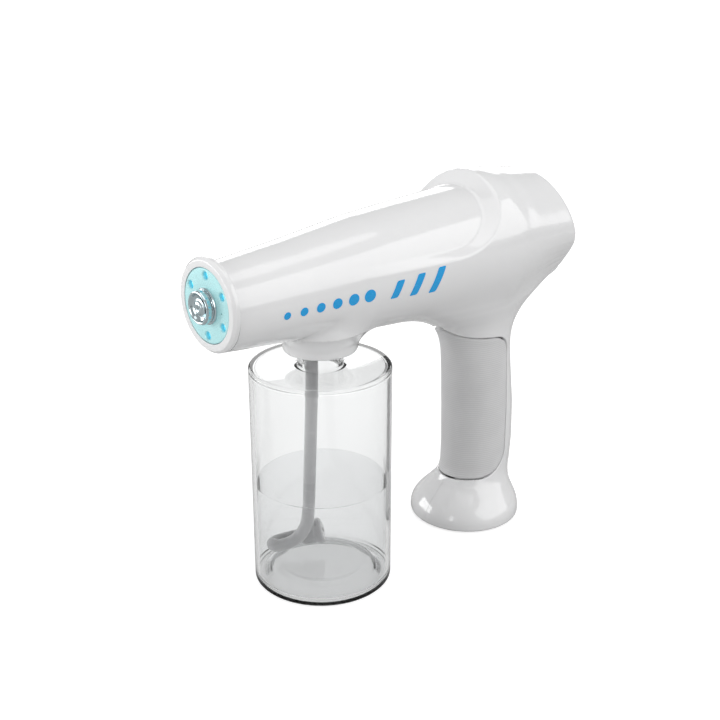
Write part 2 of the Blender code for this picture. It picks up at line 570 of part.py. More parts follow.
# The hose runs down, sweeps forward and doubles back to the weighted filter.
HOSE_END, HOSE_END_WAY = Vector((-12.6, -4.8, 16.0)), Vector((0.63, 0.735, 0.25)).normalized()
HOSE_PATH = [(0, HOSE_Y, 123.6), (0, HOSE_Y, 100), (0, HOSE_Y, 75), (-0.4, -5.4, 54), (-0.8, -5.8, 36), (-1.4, -6.9, 28.5),
             (-2.9, -8.9, 23.9), (-5.1, -11.8, 20.0), (-7.9, -15.2, 17.7), (-10.9, -17.9, 16.2), (-13.9, -18.7, 15.1),
             (-16.6, -17.0, 14.3), (-17.6, -13.7, 13.9), (-16.9, -10.4, 14.3), tuple(HOSE_END - HOSE_END_WAY * 3.2),
             tuple(HOSE_END), tuple(HOSE_END + HOSE_END_WAY * 2.8)]
hose = wire("suction_hose", HOSE_PATH, HOSE_R, TUBE, smooth_steps=2)
bore_path = [(0, HOSE_Y, 127)] + HOSE_PATH + [tuple(HOSE_END + HOSE_END_WAY * 5.5)]
boolean(hose, wire("hose_bore", bore_path, HOSE_BORE, None, True, smooth_steps=2))
FILTER = at(*HOSE_END, HOSE_END_WAY.to_track_quat("Z", "Y").to_matrix().to_4x4())
turned("hose_filter", [(1.2, 10.0), (4.6, 9.8), (6.0, 9.0), (6.0, 7.4), (5.3, 6.9), (5.5, 4.6), (5.2, 2.4), (4.4, 0.7), (3.45, 0.0),
                       (3.45, 3.4), (1.2, 3.4)], STEEL, FILTER, 20)

# --------------------------------------------------------------- rear panel
panel = turned("rear_panel", [(0, 1.0), (10, 0.9), (18, 0.5), (24, -0.2), (26.2, -0.9), (26.6, -1.4), (26.6, -2.6), (0, -2.6)],
               WHITE, REAR, 44)
boolean(panel, box("display_opening", -9.2, 9.2, -15.2, -4.8, -6, 6, None, True, matrix=REAR))
box("display_lens", -8.8, 8.8, -14.8, -5.2, -2.2, 1.0, BLACK, bevel=0.4, matrix=REAR)
boolean(panel, rod("power_opening", 4.6, 12, None, REAR @ Matrix.Translation((0, 4.0 * MM, -6 * MM)), True, 28))
boolean(panel, rod("light_opening", 3.0, 12, None, REAR @ Matrix.Translation((12.0 * MM, 4.0 * MM, -6 * MM)), True, 24))
boolean(panel, box("charge_opening", -5.2, 5.2, 15.0, 19.6, -6, 6, None, True, matrix=REAR))
turned("power_button", [(0, 2.1), (3.5, 2.0), (4.2, 1.4), (4.2, -2.9), (5.4, -2.9), (5.4, -3.8), (0, -3.8)],
       GREY, REAR @ Matrix.Translation((0, 4.0 * MM, 0)), 28)
turned("light_button", [(0, 1.8), (2.1, 1.7), (2.6, 1.2), (2.6, -2.9), (3.6, -2.9), (3.6, -3.8), (0, -3.8)],
       GREY, REAR @ Matrix.Translation((12.0 * MM, 4.0 * MM, 0)), 24)
socket = box("charge_socket", -4.8, 4.8, 15.4, 19.2, -7.0, 0.0, STEEL, bevel=0.8, matrix=REAR)
boolean(socket, box("socket_opening", -4.0, 4.0, 16.1, 18.5, -5.6, 4, None, True, matrix=REAR))
rear_board = rod("button_board", 16.0, 1.2, BOARD, REAR @ Matrix.Translation((0, 0, -8.6 * MM)), sides=32)

# --------------------------------------------------------------- fasteners
for index, (sy, sz, reach) in enumerate(SCREWS):
    screw = turned(f"housing_screw_{index + 1}",
                   [(0, 2.0), (1.9, 2.0), (2.6, 1.3), (2.6, 0.0), (1.45, 0.0), (1.45, -(reach - 3.2) - 7.0), (0, -(reach - 3.2) - 8.0)],
                   STEEL, at(-(reach - 3.2), sy, sz, Matrix.Rotation(math.radians(-90), 4, "Y")), 20)
    boolean(screw, box(f"screw_slot_{index}", -2.0, 2.0, -0.4, 0.4, 1.0, 4.0, None, True,
                       matrix=at(-(reach - 3.2), sy, sz, Matrix.Rotation(math.radians(-90), 4, "Y"))))
for index, (sx, sy) in enumerate(FOOT_SCREWS):
    boolean(foot, rod(f"foot_hole_{index}", 1.8, 8, None, at(sx, FOOT_Y + sy, -2), True, 16))
    turned(f"foot_screw_{index + 1}", [(0, 5.2), (1.4, 4.6), (1.4, 1.7), (1.4, 1.66), (0, 1.66)], STEEL, at(sx, FOOT_Y + sy, 0), 16)

bpy.context.view_layer.update()
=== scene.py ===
import json
import math

import bmesh
import bpy
import numpy as np
from mathutils import Matrix, Vector


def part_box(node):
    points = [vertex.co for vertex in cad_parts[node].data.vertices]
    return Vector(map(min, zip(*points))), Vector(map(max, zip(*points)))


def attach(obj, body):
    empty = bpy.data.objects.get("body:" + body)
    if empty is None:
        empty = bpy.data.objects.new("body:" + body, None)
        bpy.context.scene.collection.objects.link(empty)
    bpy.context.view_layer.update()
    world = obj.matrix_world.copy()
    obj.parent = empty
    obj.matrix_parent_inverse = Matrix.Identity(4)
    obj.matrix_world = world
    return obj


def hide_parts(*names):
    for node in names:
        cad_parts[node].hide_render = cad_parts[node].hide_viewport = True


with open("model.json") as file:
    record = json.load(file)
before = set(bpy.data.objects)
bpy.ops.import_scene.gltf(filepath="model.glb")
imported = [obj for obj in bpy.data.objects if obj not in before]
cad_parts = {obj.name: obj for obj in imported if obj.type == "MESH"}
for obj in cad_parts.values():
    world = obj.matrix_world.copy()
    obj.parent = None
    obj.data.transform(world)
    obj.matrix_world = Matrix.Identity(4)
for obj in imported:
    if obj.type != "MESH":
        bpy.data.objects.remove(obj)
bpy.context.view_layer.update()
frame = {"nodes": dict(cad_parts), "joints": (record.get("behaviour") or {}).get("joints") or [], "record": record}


NODES = frame["nodes"]
MM = 0.001

# The bottle's axis is the reference line of every table below (millimetres).
low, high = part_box("bottle")
BOTTLE_Y = (low.y + high.y) / 2 / MM
for joint in frame["joints"]:
    if joint["name"] == "bottle_turn":
        BOTTLE_Y = joint["pos_m"][1] / MM

# ============================================================== materials


class Graph:
    """Small helper around a node tree."""

    def __init__(self, name):
        self.mat = bpy.data.materials.new(name)
        self.mat.use_nodes = True
        self.tree = self.mat.node_tree
        self.bsdf = self.tree.nodes["Principled BSDF"]
        self.coord = self.add("ShaderNodeTexCoord").outputs["Object"]

    def add(self, kind, **values):
        node = self.tree.nodes.new(kind)
        for key, value in values.items():
            if hasattr(node, key):
                setattr(node, key, value)
            else:
                node.inputs[key].default_value = value
        return node

    def link(self, a, b):
        self.tree.links.new(a, b)

    def set(self, **values):
        for key, value in values.items():
            self.bsdf.inputs[key.replace("_", " ")].default_value = value
        return self

    def noise(self, scale, detail=4.0, rough=0.5, vector=None, distortion=0.0):
        node = self.add("ShaderNodeTexNoise")
        node.inputs["Scale"].default_value = scale
        node.inputs["Detail"].default_value = detail
        node.inputs["Roughness"].default_value = rough
        node.inputs["Distortion"].default_value = distortion
        self.link(vector or self.coord, node.inputs["Vector"])
        return node.outputs["Fac"]

    def stretch(self, x, y, z):
        node = self.add("ShaderNodeMapping")
        node.inputs["Scale"].default_value = (x, y, z)
        self.link(self.coord, node.inputs["Vector"])
        return node.outputs["Vector"]

    def span(self, value, a, b, low=0.0, high=1.0):
        node = self.add("ShaderNodeMapRange")
        node.inputs["From Min"].default_value = low
        node.inputs["From Max"].default_value = high
        node.inputs["To Min"].default_value = a
        node.inputs["To Max"].default_value = b
        self.link(value, node.inputs["Value"])
        return node.outputs["Result"]

    def colours(self, value, a, b):
        node = self.add("ShaderNodeMix")
        node.data_type = "RGBA"
        node.inputs[6].default_value = (*a, 1)
        node.inputs[7].default_value = (*b, 1)
        self.link(value, node.inputs[0])
        return node.outputs[2]

    def math(self, operation, a, b=None, c=None):
        node = self.add("ShaderNodeMath")
        node.operation = operation
        for slot, item in zip(node.inputs, (a, b, c)):
            if item is None:
                continue
            if isinstance(item, (int, float)):
                slot.default_value = item
            else:
                self.link(item, slot)
        return node.outputs[0]

    def bump(self, height, strength, distance, under=None):
        node = self.add("ShaderNodeBump")
        node.inputs["Strength"].default_value = strength
        node.inputs["Distance"].default_value = distance
        self.link(height, node.inputs["Height"])
        if under is not None:
            self.link(under, node.inputs["Normal"])
        self.link(node.outputs["Normal"], self.bsdf.inputs["Normal"])
        return node.outputs["Normal"]

    def wear(self, inner, worn, width=0.0006):
        """Edges, found by the bevel node, slightly lighter: mixed towards the worn colour."""
        bevel = self.add("ShaderNodeBevel")
        bevel.samples = 4
        bevel.inputs["Radius"].default_value = width
        geo = self.add("ShaderNodeNewGeometry")
        dot = self.add("ShaderNodeVectorMath")
        dot.operation = "DOT_PRODUCT"
        self.link(bevel.outputs["Normal"], dot.inputs[0])
        self.link(geo.outputs["Normal"], dot.inputs[1])
        edge = self.span(dot.outputs["Value"], 1.0, 0.0, 0.90, 0.995)
        return self.colours(edge, inner, worn)


def plastic(name, colour, rough, peel=0.05, coat=0.25, grain=0.0, shade=0.012):
    g = Graph(name)
    dust = g.noise(38, 6, 0.55)
    fine = g.noise(900, 3, 0.6)
    lo = tuple(max(c - shade, 0) for c in colour)
    hi = tuple(min(c + shade * 0.6, 1) for c in colour)
    g.link(g.colours(g.span(dust, 0, 1, 0.3, 0.7), lo, hi), g.bsdf.inputs["Base Color"])
    g.link(g.span(g.math("ADD", g.math("MULTIPLY", dust, 0.6), g.math("MULTIPLY", fine, 0.4)),
                  rough * 0.85, rough * 1.3, 0.3, 0.7), g.bsdf.inputs["Roughness"])
    g.set(Coat_Weight=coat, Coat_Roughness=0.06, IOR=1.5)
    wave = g.noise(240, 2, 0.5)
    first = g.bump(wave, peel, 0.00006)
    if grain:
        g.bump(g.noise(5200, 2, 0.5), grain, 0.00008, first)
    return g


def gloss_white():
    g = plastic("moulded_gloss_white", (0.85, 0.85, 0.855), 0.13, 0.02, 0.9)
    g.set(Subsurface_Weight=0.04, Subsurface_Scale=0.004, Coat_Roughness=0.09)
    g.bsdf.inputs["Subsurface Radius"].default_value = (1.0, 0.95, 0.9)
    return g.mat


def grip_grey():
    g = Graph("soft_grip_grey_painted_rib_shade")
    split = g.add("ShaderNodeSeparateXYZ")
    g.link(g.coord, split.inputs[0])
    rib = g.math("SINE", g.math("MULTIPLY", split.outputs["Z"], math.tau / 0.0011))
    rib = g.span(rib, 0.0, 1.0, -1.0, 1.0)
    cloud = g.noise(60, 5, 0.55)
    tooth = g.noise(6500, 2, 0.6)
    # Painted shade: the colour is darker in the grooves of the fine ribs and lighter on their crests, mixed with a
    # random cloudy tone.
    tone = g.math("ADD", g.math("MULTIPLY", rib, 0.35), g.math("MULTIPLY", cloud, 0.65))
    g.link(g.colours(g.span(tone, 0, 1, 0.25, 0.75), (0.64, 0.64, 0.645), (0.73, 0.73, 0.735)), g.bsdf.inputs["Base Color"])
    g.link(g.span(tooth, 0.42, 0.6, 0.3, 0.7), g.bsdf.inputs["Roughness"])
    g.set(Coat_Weight=0.04, IOR=1.47, Sheen_Weight=0.06)
    first = g.bump(rib, 0.5, 0.00008)
    g.bump(tooth, 0.45, 0.00004, first)
    return g.mat


def chrome(name="polished_chrome", tint=(0.62, 0.72, 0.75), rough=0.09):
    g = Graph(name)
    brushed = g.noise(1, 3, 0.5, g.stretch(1400, 90, 1400))
    smear = g.noise(160, 4, 0.6)
    g.link(g.colours(smear, tuple(c * 0.86 for c in tint), tint), g.bsdf.inputs["Base Color"])
    g.link(g.span(g.math("MULTIPLY", brushed, smear), rough * 0.6, rough * 2.2, 0.1, 0.4), g.bsdf.inputs["Roughness"])
    g.set(Metallic=1.0)
    g.bump(brushed, 0.05, 0.00002)
    return g.mat


def satin_plate():
    g = Graph("satin_front_plate_painted_led_glow")
    cloud = g.noise(150, 4, 0.5)
    grain = g.noise(4200, 2, 0.5)
    # Painted light: the cyan of the plate is the glow of the LED ring painted into its base colour, varied by a random
    # cloudy tone.
    g.link(g.colours(cloud, (0.48, 0.84, 0.86), (0.56, 0.92, 0.94)), g.bsdf.inputs["Base Color"])
    g.link(g.span(grain, 0.22, 0.36, 0.3, 0.7), g.bsdf.inputs["Roughness"])
    g.set(Metallic=0.15, Coat_Weight=0.3)
    g.bump(grain, 0.15, 0.00003)
    return g.mat


def cyan_lens():
    g = Graph("cyan_light_lens")
    core = g.add("ShaderNodeLayerWeight", Blend=0.35)
    tone = g.colours(core.outputs["Facing"], (0.10, 0.66, 0.86), (0.02, 0.40, 0.66))
    g.link(tone, g.bsdf.inputs["Base Color"])
    g.link(tone, g.bsdf.inputs["Emission Color"])
    frost = g.noise(900, 3, 0.5)
    g.link(g.span(frost, 0.35, 0.6, 0.3, 0.7), g.bsdf.inputs["Emission Strength"])
    g.link(g.span(frost, 0.12, 0.3, 0.3, 0.7), g.bsdf.inputs["Roughness"])
    g.set(Coat_Weight=0.6)
    return g.mat


def clear(name, tint, rough, ior=1.46, depth=0.0):
    """Clear moulding: light passes straight through the faces and darkens at the edges."""
    g = Graph(name)
    smear = g.noise(22, 5, 0.6)
    g.link(g.span(smear, rough * 0.5, rough * 2.0, 0.3, 0.7), g.bsdf.inputs["Roughness"])
    g.link(g.colours(smear, tuple(c * 0.985 for c in tint), tint), g.bsdf.inputs["Base Color"])
    g.set(IOR=ior, Transmission_Weight=1.0)
    g.bump(g.noise(45, 2, 0.4), 0.02, 0.0001)
    if depth:
        fog = g.add("ShaderNodeVolumeAbsorption", Density=depth)
        fog.inputs["Color"].default_value = (0.04, 0.05, 0.05, 1)
        g.link(fog.outputs[0], g.tree.nodes["Material Output"].inputs["Volume"])
    return g.mat


def milky():
    g = Graph("milky_tubing_painted_edge_light")
    cloud = g.noise(90, 4, 0.5)
    # Painted light: the tube is lighter towards its edges as seen from the camera and darker in its middle, mixed with
    # a random cloudy tone.
    edge = g.add("ShaderNodeLayerWeight", Blend=0.45)
    tone = g.math("ADD", g.math("MULTIPLY", edge.outputs["Facing"], 0.75), g.math("MULTIPLY", cloud, 0.25))
    g.link(g.colours(g.span(tone, 0, 1, 0.1, 0.8), (0.50, 0.50, 0.51), (0.80, 0.80, 0.81)), g.bsdf.inputs["Base Color"])
    g.link(g.span(cloud, 0.2, 0.3, 0.3, 0.7), g.bsdf.inputs["Roughness"])
    g.set(Coat_Weight=0.4, IOR=1.42)
    g.bump(g.noise(500, 3, 0.5), 0.04, 0.00004)
    return g.mat


def metal(name, colour, rough, stretch=(300, 300, 300)):
    g = Graph(name)
    lines = g.noise(1, 4, 0.55, g.stretch(*stretch))
    stain = g.noise(90, 5, 0.6)
    g.link(g.colours(g.span(g.math("MULTIPLY", lines, stain), 0, 1, 0.12, 0.4), tuple(c * 0.75 for c in colour), colour),
           g.bsdf.inputs["Base Color"])
    g.link(g.span(lines, rough * 0.7, rough * 1.5, 0.3, 0.7), g.bsdf.inputs["Roughness"])
    g.set(Metallic=1.0)
    g.bump(lines, 0.12, 0.00004)
    return g.mat


def rubber():
    g = Graph("dark_rubber")
    cloud = g.noise(70, 5, 0.6)
    tooth = g.noise(2600, 3, 0.6)
    g.link(g.colours(cloud, (0.035, 0.035, 0.038), (0.075, 0.075, 0.08)), g.bsdf.inputs["Base Color"])
    g.link(g.span(tooth, 0.6, 0.85, 0.3, 0.7), g.bsdf.inputs["Roughness"])
    g.bump(tooth, 0.4, 0.00006)
    return g.mat


def board():
    g = Graph("circuit_board")
    brick = g.add("ShaderNodeTexBrick")
    brick.inputs["Scale"].default_value = 260
    brick.inputs["Mortar Size"].default_value = 0.03
    brick.inputs["Color1"].default_value = (0.015, 0.16, 0.06, 1)
    brick.inputs["Color2"].default_value = (0.02, 0.21, 0.08, 1)
    brick.inputs["Mortar"].default_value = (0.05, 0.34, 0.14, 1)
    g.link(g.coord, brick.inputs["Vector"])
    g.link(brick.outputs["Color"], g.bsdf.inputs["Base Color"])
    g.link(g.span(g.noise(400, 3), 0.25, 0.45, 0.3, 0.7), g.bsdf.inputs["Roughness"])
    g.bump(brick.outputs["Fac"], 0.3, 0.00005)
    return g.mat


def black_plastic():
    g = plastic("black_moulding", (0.022, 0.022, 0.025), 0.42, 0.05, 0.05, 0.5, 0.006)
    return g.mat


def window():
    g = Graph("smoked_window")
    split = g.add("ShaderNodeSeparateXYZ")
    g.link(g.coord, split.inputs[0])
    cells = g.math("GREATER_THAN", g.math("FRACT", g.math("MULTIPLY", split.outputs["X"], 420.0)), 0.35)
    g.link(g.colours(cells, (0.010, 0.012, 0.016), (0.018, 0.024, 0.032)), g.bsdf.inputs["Base Color"])
    g.link(g.span(g.noise(300, 3), 0.04, 0.10, 0.3, 0.7), g.bsdf.inputs["Roughness"])
    g.set(Coat_Weight=0.8, Coat_Roughness=0.03)
    return g.mat


def blue_print():
    g = Graph("printed_blue")
    speck = g.noise(1500, 3, 0.6)
    g.link(g.colours(g.span(speck, 0, 1, 0.35, 0.65), (0.0, 0.34, 0.76), (0.004, 0.38, 0.82)), g.bsdf.inputs["Base Color"])
    g.link(g.span(speck, 0.16, 0.28, 0.3, 0.7), g.bsdf.inputs["Roughness"])
    g.set(Coat_Weight=0.3)
    return g.mat


def wrap():
    g = Graph("cell_wrap")
    cloud = g.noise(60, 4, 0.5)
    g.link(g.colours(cloud, (0.02, 0.09, 0.36), (0.03, 0.13, 0.46)), g.bsdf.inputs["Base Color"])
    g.link(g.span(g.noise(900, 2), 0.2, 0.36, 0.3, 0.7), g.bsdf.inputs["Roughness"])
    g.set(Coat_Weight=0.3)
    g.bump(g.noise(120, 3), 0.1, 0.0001)
    return g.mat


M = {
    "gloss_white": gloss_white(),
    "grip_grey": grip_grey(),
    "button_grey": plastic("satin_button_grey", (0.44, 0.46, 0.49), 0.32, 0.05, 0.1, 0.2).mat,
    "chrome": chrome(),
    "satin_plate": satin_plate(),
    "cyan_lens": cyan_lens(),
    "clear_bottle": clear("clear_bottle", (0.98, 0.984, 0.984), 0.004, 1.45, 52.0),
    "dark_rubber": rubber(),
    "milky_tube": milky(),
    "steel": metal("bright_steel", (0.60, 0.61, 0.63), 0.22),
    "brass": metal("bright_brass", (0.78, 0.58, 0.26), 0.2),
    "circuit_board": board(),
    "black_plastic": black_plastic(),
    "display_lens": window(),
    "battery_wrap": wrap(),
}
LIQUID = clear("disinfectant_liquid", (0.90, 0.905, 0.91), 0.003, 1.03)
BLUE = blue_print()

slots = {row["node"]: row["material_slot"] for row in frame["record"]["subparts"]}
for name, obj in NODES.items():
    mat = M[slots[name]]
    if not obj.material_slots:
        obj.data.materials.append(mat)
    for entry in obj.material_slots:
        entry.material = mat
    obj.data.set_sharp_from_angle(angle=math.radians(38))

# ============================================================ mesh helpers


def place(verts):
    """Millimetres from the bottle's axis to metres in the row frame."""
    v = np.asarray(verts, float).copy()
    v[:, 1] += BOTTLE_Y
    return v * MM


def make(name, verts, faces, mat, body, stands_for=(), matrix=None, sharp=35.0, local=False, skin=None):
    mesh = bpy.data.meshes.new(name)
    v = np.asarray(verts, float) * MM if (local or matrix is not None) else place(verts)
    if matrix is not None:
        m = np.array(matrix)
        v = v @ m[:3, :3].T + m[:3, 3]
    mesh.from_pydata([tuple(p) for p in v], [], [tuple(int(i) for i in f) for f in faces])
    mesh.validate()
    mesh.update()
    mesh.shade_smooth()
    mesh.set_sharp_from_angle(angle=math.radians(sharp))
    if skin is not None and len(mesh.polygons) == len(faces):
        count, normals = skin
        starts = np.zeros(len(mesh.loops), np.int64)
        mesh.loops.foreach_get("vertex_index", starts)
        loops = np.zeros((len(mesh.loops), 3))
        outer = 3 * count
        loops[:outer] = normals[starts[:outer]]
        mesh.normals_split_custom_set(loops.tolist())
    mesh.materials.append(mat)
    obj = bpy.data.objects.new(name, mesh)
    bpy.context.scene.collection.objects.link(obj)
    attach(obj, body)
    if stands_for:
        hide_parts(*stands_for)
    return obj


def at(x, y, z, rotation=None):
    base = Matrix.Translation(Vector((x * MM, (y + BOTTLE_Y) * MM, z * MM)))
    return base if rotation is None else base @ rotation


FORWARD = Matrix.Rotation(math.radians(90), 4, "X")
SIDE_IN = Matrix.Rotation(math.radians(-90), 4, "Y")
REAR_TILT = 15.0
REAR_Y, REAR_Z, REAR_R = 140.0, 150.5, 30.5
REAR = at(0, REAR_Y, REAR_Z, Matrix.Rotation(math.radians(-(90 - REAR_TILT)), 4, "X"))


def round_corners(points, radius, seg=4, closed=False):
    """Rounds the corners of a profile.  A third value on a point is its own radius."""
    pts = [(p[0], p[1], p[2] if len(p) > 2 else radius) for p in points]
    out = []
    n = len(pts)
    for i, (x, y, r) in enumerate(pts):
        if not closed and i in (0, n - 1):
            out.append((x, y))
            continue
        p = np.array((x, y)); a = np.array(pts[i - 1][:2]) - p; b = np.array(pts[(i + 1) % n][:2]) - p
        la, lb = np.linalg.norm(a), np.linalg.norm(b)
        if la < 1e-6 or lb < 1e-6 or r <= 0:
            out.append((x, y)); continue
        a, b = a / la, b / lb
        c = float(np.clip(a @ b, -1, 1))
        half = math.acos(c) / 2
        if abs(half - math.pi / 2) < 0.06:
            out.append((x, y)); continue
        cut = min(r / math.tan(half), la * 0.45, lb * 0.45)
        p0, p2 = p + a * cut, p + b * cut
        for k in range(seg + 1):
            t = k / seg
            q = (1 - t) ** 2 * p0 + 2 * t * (1 - t) * p + t * t * p2
            out.append((q[0], q[1]))
    return out


def lathe(profile, n, ridge=None, wave=None):
    """Vertices and faces of a turned solid; the profile runs down its outer side."""
    closed = profile[0][0] > 1e-6 or profile[-1][0] > 1e-6
    verts, rows = [], []
    for r, z in profile:
        if r < 1e-6:
            rows.append([len(verts)] * n)
            verts.append((0, 0, z))
            continue
        row = []
        for k in range(n):
            a = math.tau * k / n
            rr = r if ridge is None else ridge(r, z, a)
            row.append(len(verts))
            verts.append((rr * math.cos(a), rr * math.sin(a), z))
        rows.append(row)
    faces = []
    pairs = list(zip(rows, rows[1:])) + ([(rows[-1], rows[0])] if closed else [])
    for up, down in pairs:
        for k in range(n):
            j = (k + 1) % n
            quad = [up[k], down[k], down[j], up[j]]
            face = [q for i, q in enumerate(quad) if q != quad[i - 1]]
            if len(face) > 2:
                faces.append(face)
    return verts, faces


def turned(name, profile, mat, body, stands_for=(), matrix=None, n=96, radius=0.3, ridge=None, seg=4, sharp=35.0):
    closed = profile[0][0] > 1e-6 or profile[-1][0] > 1e-6
    prof = round_corners(profile, radius, seg, closed)
    verts, faces = lathe(prof, n, ridge)
    return make(name, verts, faces, mat, body, stands_for, matrix if matrix is not None else at(0, 0, 0), sharp, True)


def tool(verts, faces, matrix):
    mesh = bpy.data.meshes.new("tool")
    m = np.array(matrix)
    v = np.asarray(verts, float) * MM @ m[:3, :3].T + m[:3, 3]
    mesh.from_pydata([tuple(p) for p in v], [], faces)
    return bpy.data.objects.new("tool", mesh)


def apply_boolean(obj, cutter, operation="DIFFERENCE"):
    bpy.context.scene.collection.objects.link(cutter)
    mod = obj.modifiers.new("b", "BOOLEAN")
    mod.operation, mod.object, mod.solver = operation, cutter, "EXACT"
    bpy.context.view_layer.update()
    done = bpy.data.meshes.new_from_object(obj.evaluated_get(bpy.context.evaluated_depsgraph_get()))
    obj.modifiers.clear()
    done.name = obj.name
    obj.data = done
    bpy.data.objects.remove(cutter, do_unlink=True)
    obj.data.shade_smooth()
    obj.data.set_sharp_from_angle(angle=math.radians(35))


def prism(points, depth, z0):
    n = len(points)
    verts = [(x, y, z0) for x, y in points] + [(x, y, z0 + depth) for x, y in points]
    faces = [list(range(n))[::-1], [n + i for i in range(n)]]
    faces += [[i, (i + 1) % n, n + (i + 1) % n, n + i] for i in range(n)]
    return verts, faces


def rounded_rect(cx, cy, w, h, r, seg=6):
    pts = []
    for sx, sy, a0 in ((1, 1, 0), (-1, 1, 90), (-1, -1, 180), (1, -1, 270)):
        for k in range(seg + 1):
            a = math.radians(a0 + 90 * k / seg)
            pts.append((cx + sx * (w / 2 - r) + r * math.cos(a), cy + sy * (h / 2 - r) + r * math.sin(a)))
    return pts


def circle(cx, cy, r, n=48):
    return [(cx + r * math.cos(math.tau * k / n), cy + r * math.sin(math.tau * k / n)) for k in range(n)]


def cushion_block(points, z0, z1, lip=0.4, seg=4):
    """A flat moulding with rounded upper edges: the outline shrinks over the lip."""
    pts = np.array(points)
    centre = pts.mean(0)
    n = len(pts)
    nxt, prv = np.roll(pts, -1, 0), np.roll(pts, 1, 0)
    tang = nxt - prv
    norm = np.stack([tang[:, 1], -tang[:, 0]], 1)
    norm /= np.linalg.norm(norm, axis=1)[:, None]
    levels = [(z0, 0.0)]
    for k in range(seg + 1):
        a = math.pi / 2 * k / seg
        levels.append((z1 - lip + lip * math.sin(a), lip * (1 - math.cos(a))))
    verts, rows = [], []
    for z, inset in levels:
        ring = pts - norm * inset
        rows.append(range(len(verts), len(verts) + n))
        verts += [(x, y, z) for x, y in ring]
    faces = [list(rows[0])[::-1], list(rows[-1])]
    for a, b in zip(rows, rows[1:]):
        faces += [[a[i], a[(i + 1) % n], b[(i + 1) % n], b[i]] for i in range(n)]
    return verts, faces


def catmull(points, steps):
    pts = [np.array(p, float) for p in points]
    pts = [pts[0] * 2 - pts[1]] + pts + [pts[-1] * 2 - pts[-2]]
    out = []
    for a, b, c, d in zip(pts, pts[1:], pts[2:], pts[3:]):
        for k in range(steps):
            t = k / steps
            out.append(0.5 * (2 * b + (c - a) * t + (2 * a - 5 * b + 4 * c - d) * t * t + (3 * b - a - 3 * c + d) * t ** 3))
    out.append(pts[-2])
    return np.array(out)


def pipe(points, radius, n=20, bore=None):
    """A swept tube with parallel-carried sections; with a bore it is open at both ends."""
    p = np.asarray(points, float)
    t = np.gradient(p, axis=0)
    t /= np.linalg.norm(t, axis=1)[:, None]
    ref = np.array((1.0, 0, 0)) if abs(t[0][0]) < 0.9 else np.array((0, 1.0, 0))
    verts, outer, inner = [], [], []
    u = None
    frames = []
    for i in range(len(p)):
        u = (ref if u is None else u)
        u = u - t[i] * (u @ t[i]); u /= np.linalg.norm(u)
        frames.append((u, np.cross(t[i], u)))
    for r, store in ((radius, outer),) + (((bore, inner),) if bore else ()):
        for i in range(len(p)):
            store.append(len(verts))
            for k in range(n):
                a = math.tau * k / n
                verts.append(p[i] + r * (math.cos(a) * frames[i][0] + math.sin(a) * frames[i][1]))
    faces = []
    for i in range(len(p) - 1):
        for k in range(n):
            j = (k + 1) % n
            a, b = outer[i], outer[i + 1]
            faces.append([a + k, a + j, b + j, b + k])
            if bore:
                a, b = inner[i], inner[i + 1]
                faces.append([a + j, a + k, b + k, b + j])
    if bore:
        for i, flip in ((0, False), (len(p) - 1, True)):
            for k in range(n):
                j = (k + 1) % n
                f = [outer[i] + j, outer[i] + k, inner[i] + k, inner[i] + j]
                faces.append(f[::-1] if flip else f)
    else:
        faces.append([outer[0] + k for k in range(n)][::-1])
        faces.append([outer[-1] + k for k in range(n)])
    return verts, faces


# ====================================================== the moulded body form
# y, centre height, radius of the barrel; then the fuller body behind it
BARREL = np.array([
    (-62, 148.15, 19.05), (-56.2, 148.15, 19.05), (-50, 147.97, 19.57), (-42, 148.01, 20.21), (-34, 148.01, 21.01), (-18, 147.95, 22.55),
    (0, 148.0, 24.6), (20, 148.3, 26.65), (45, 148.3, 28.3), (80, 148.3, 30.1), (95, 148.3, 30.8), (140, 148.3, 32.6)])
REAR_BODY = np.array([
    (60, 148.3 + 3.1, 29.1 + 3.1), (95, 151.6, 33.9), (104, 151.75, 33.2), (112, 151.65, 32.6), (120, 151.3, 31.95), (130, 150.9, 31.2),
    (140, 150.5, 30.55), (150, 150.1, 30.0)])
LEAN = np.array([(95, 0), (110, 3.5), (120, 7), (130, 11), (140, 15)])
# share by which the lower flanks draw in at the rear rim, by angle from the top
FLANK = np.array([(0, 0), (86, 0), (96, 0.035), (107, 0.10), (116, 0.14), (125, 0.165), (140, 0.175), (156, 0.13), (168, 0.05), (180, 0.0)])
HANDLE = np.array([
    (-4, 97.8 - 28.6, 97.8 + 28.6, 28.6), (4.0, 97.8 - 28.6, 97.8 + 28.6, 28.6), (6.5, 69.7, 126.2, 28.1), (9, 70.8, 125.8, 26.6),
    (12, 72.6, 124.8, 24.2), (16, 76.6, 123.6, 20.6), (20, 81.0, 123.9, 17.7), (24, 83.4, 124.5, 16.5), (28, 84.5, 125.2, 16.3),
    (40, 84.9, 126.0, 16.5), (60, 84.3, 125.5, 16.5), (80, 83.3, 123.1, 16.0), (92, 82.4, 121.9, 15.9), (98, 81.0, 122.0, 16.1),
    (103, 78.7, 123.1, 16.6), (107, 75.6, 125.0, 17.3), (111, 70.4, 128.0, 18.4), (115, 62.0, 132.2, 20.0), (119, 52.0, 138.0, 21.8),
    (123, 43.0, 145.0, 23.2), (128, 38.0, 151.0, 23.8), (140, 37.0, 153.0, 23.8)])


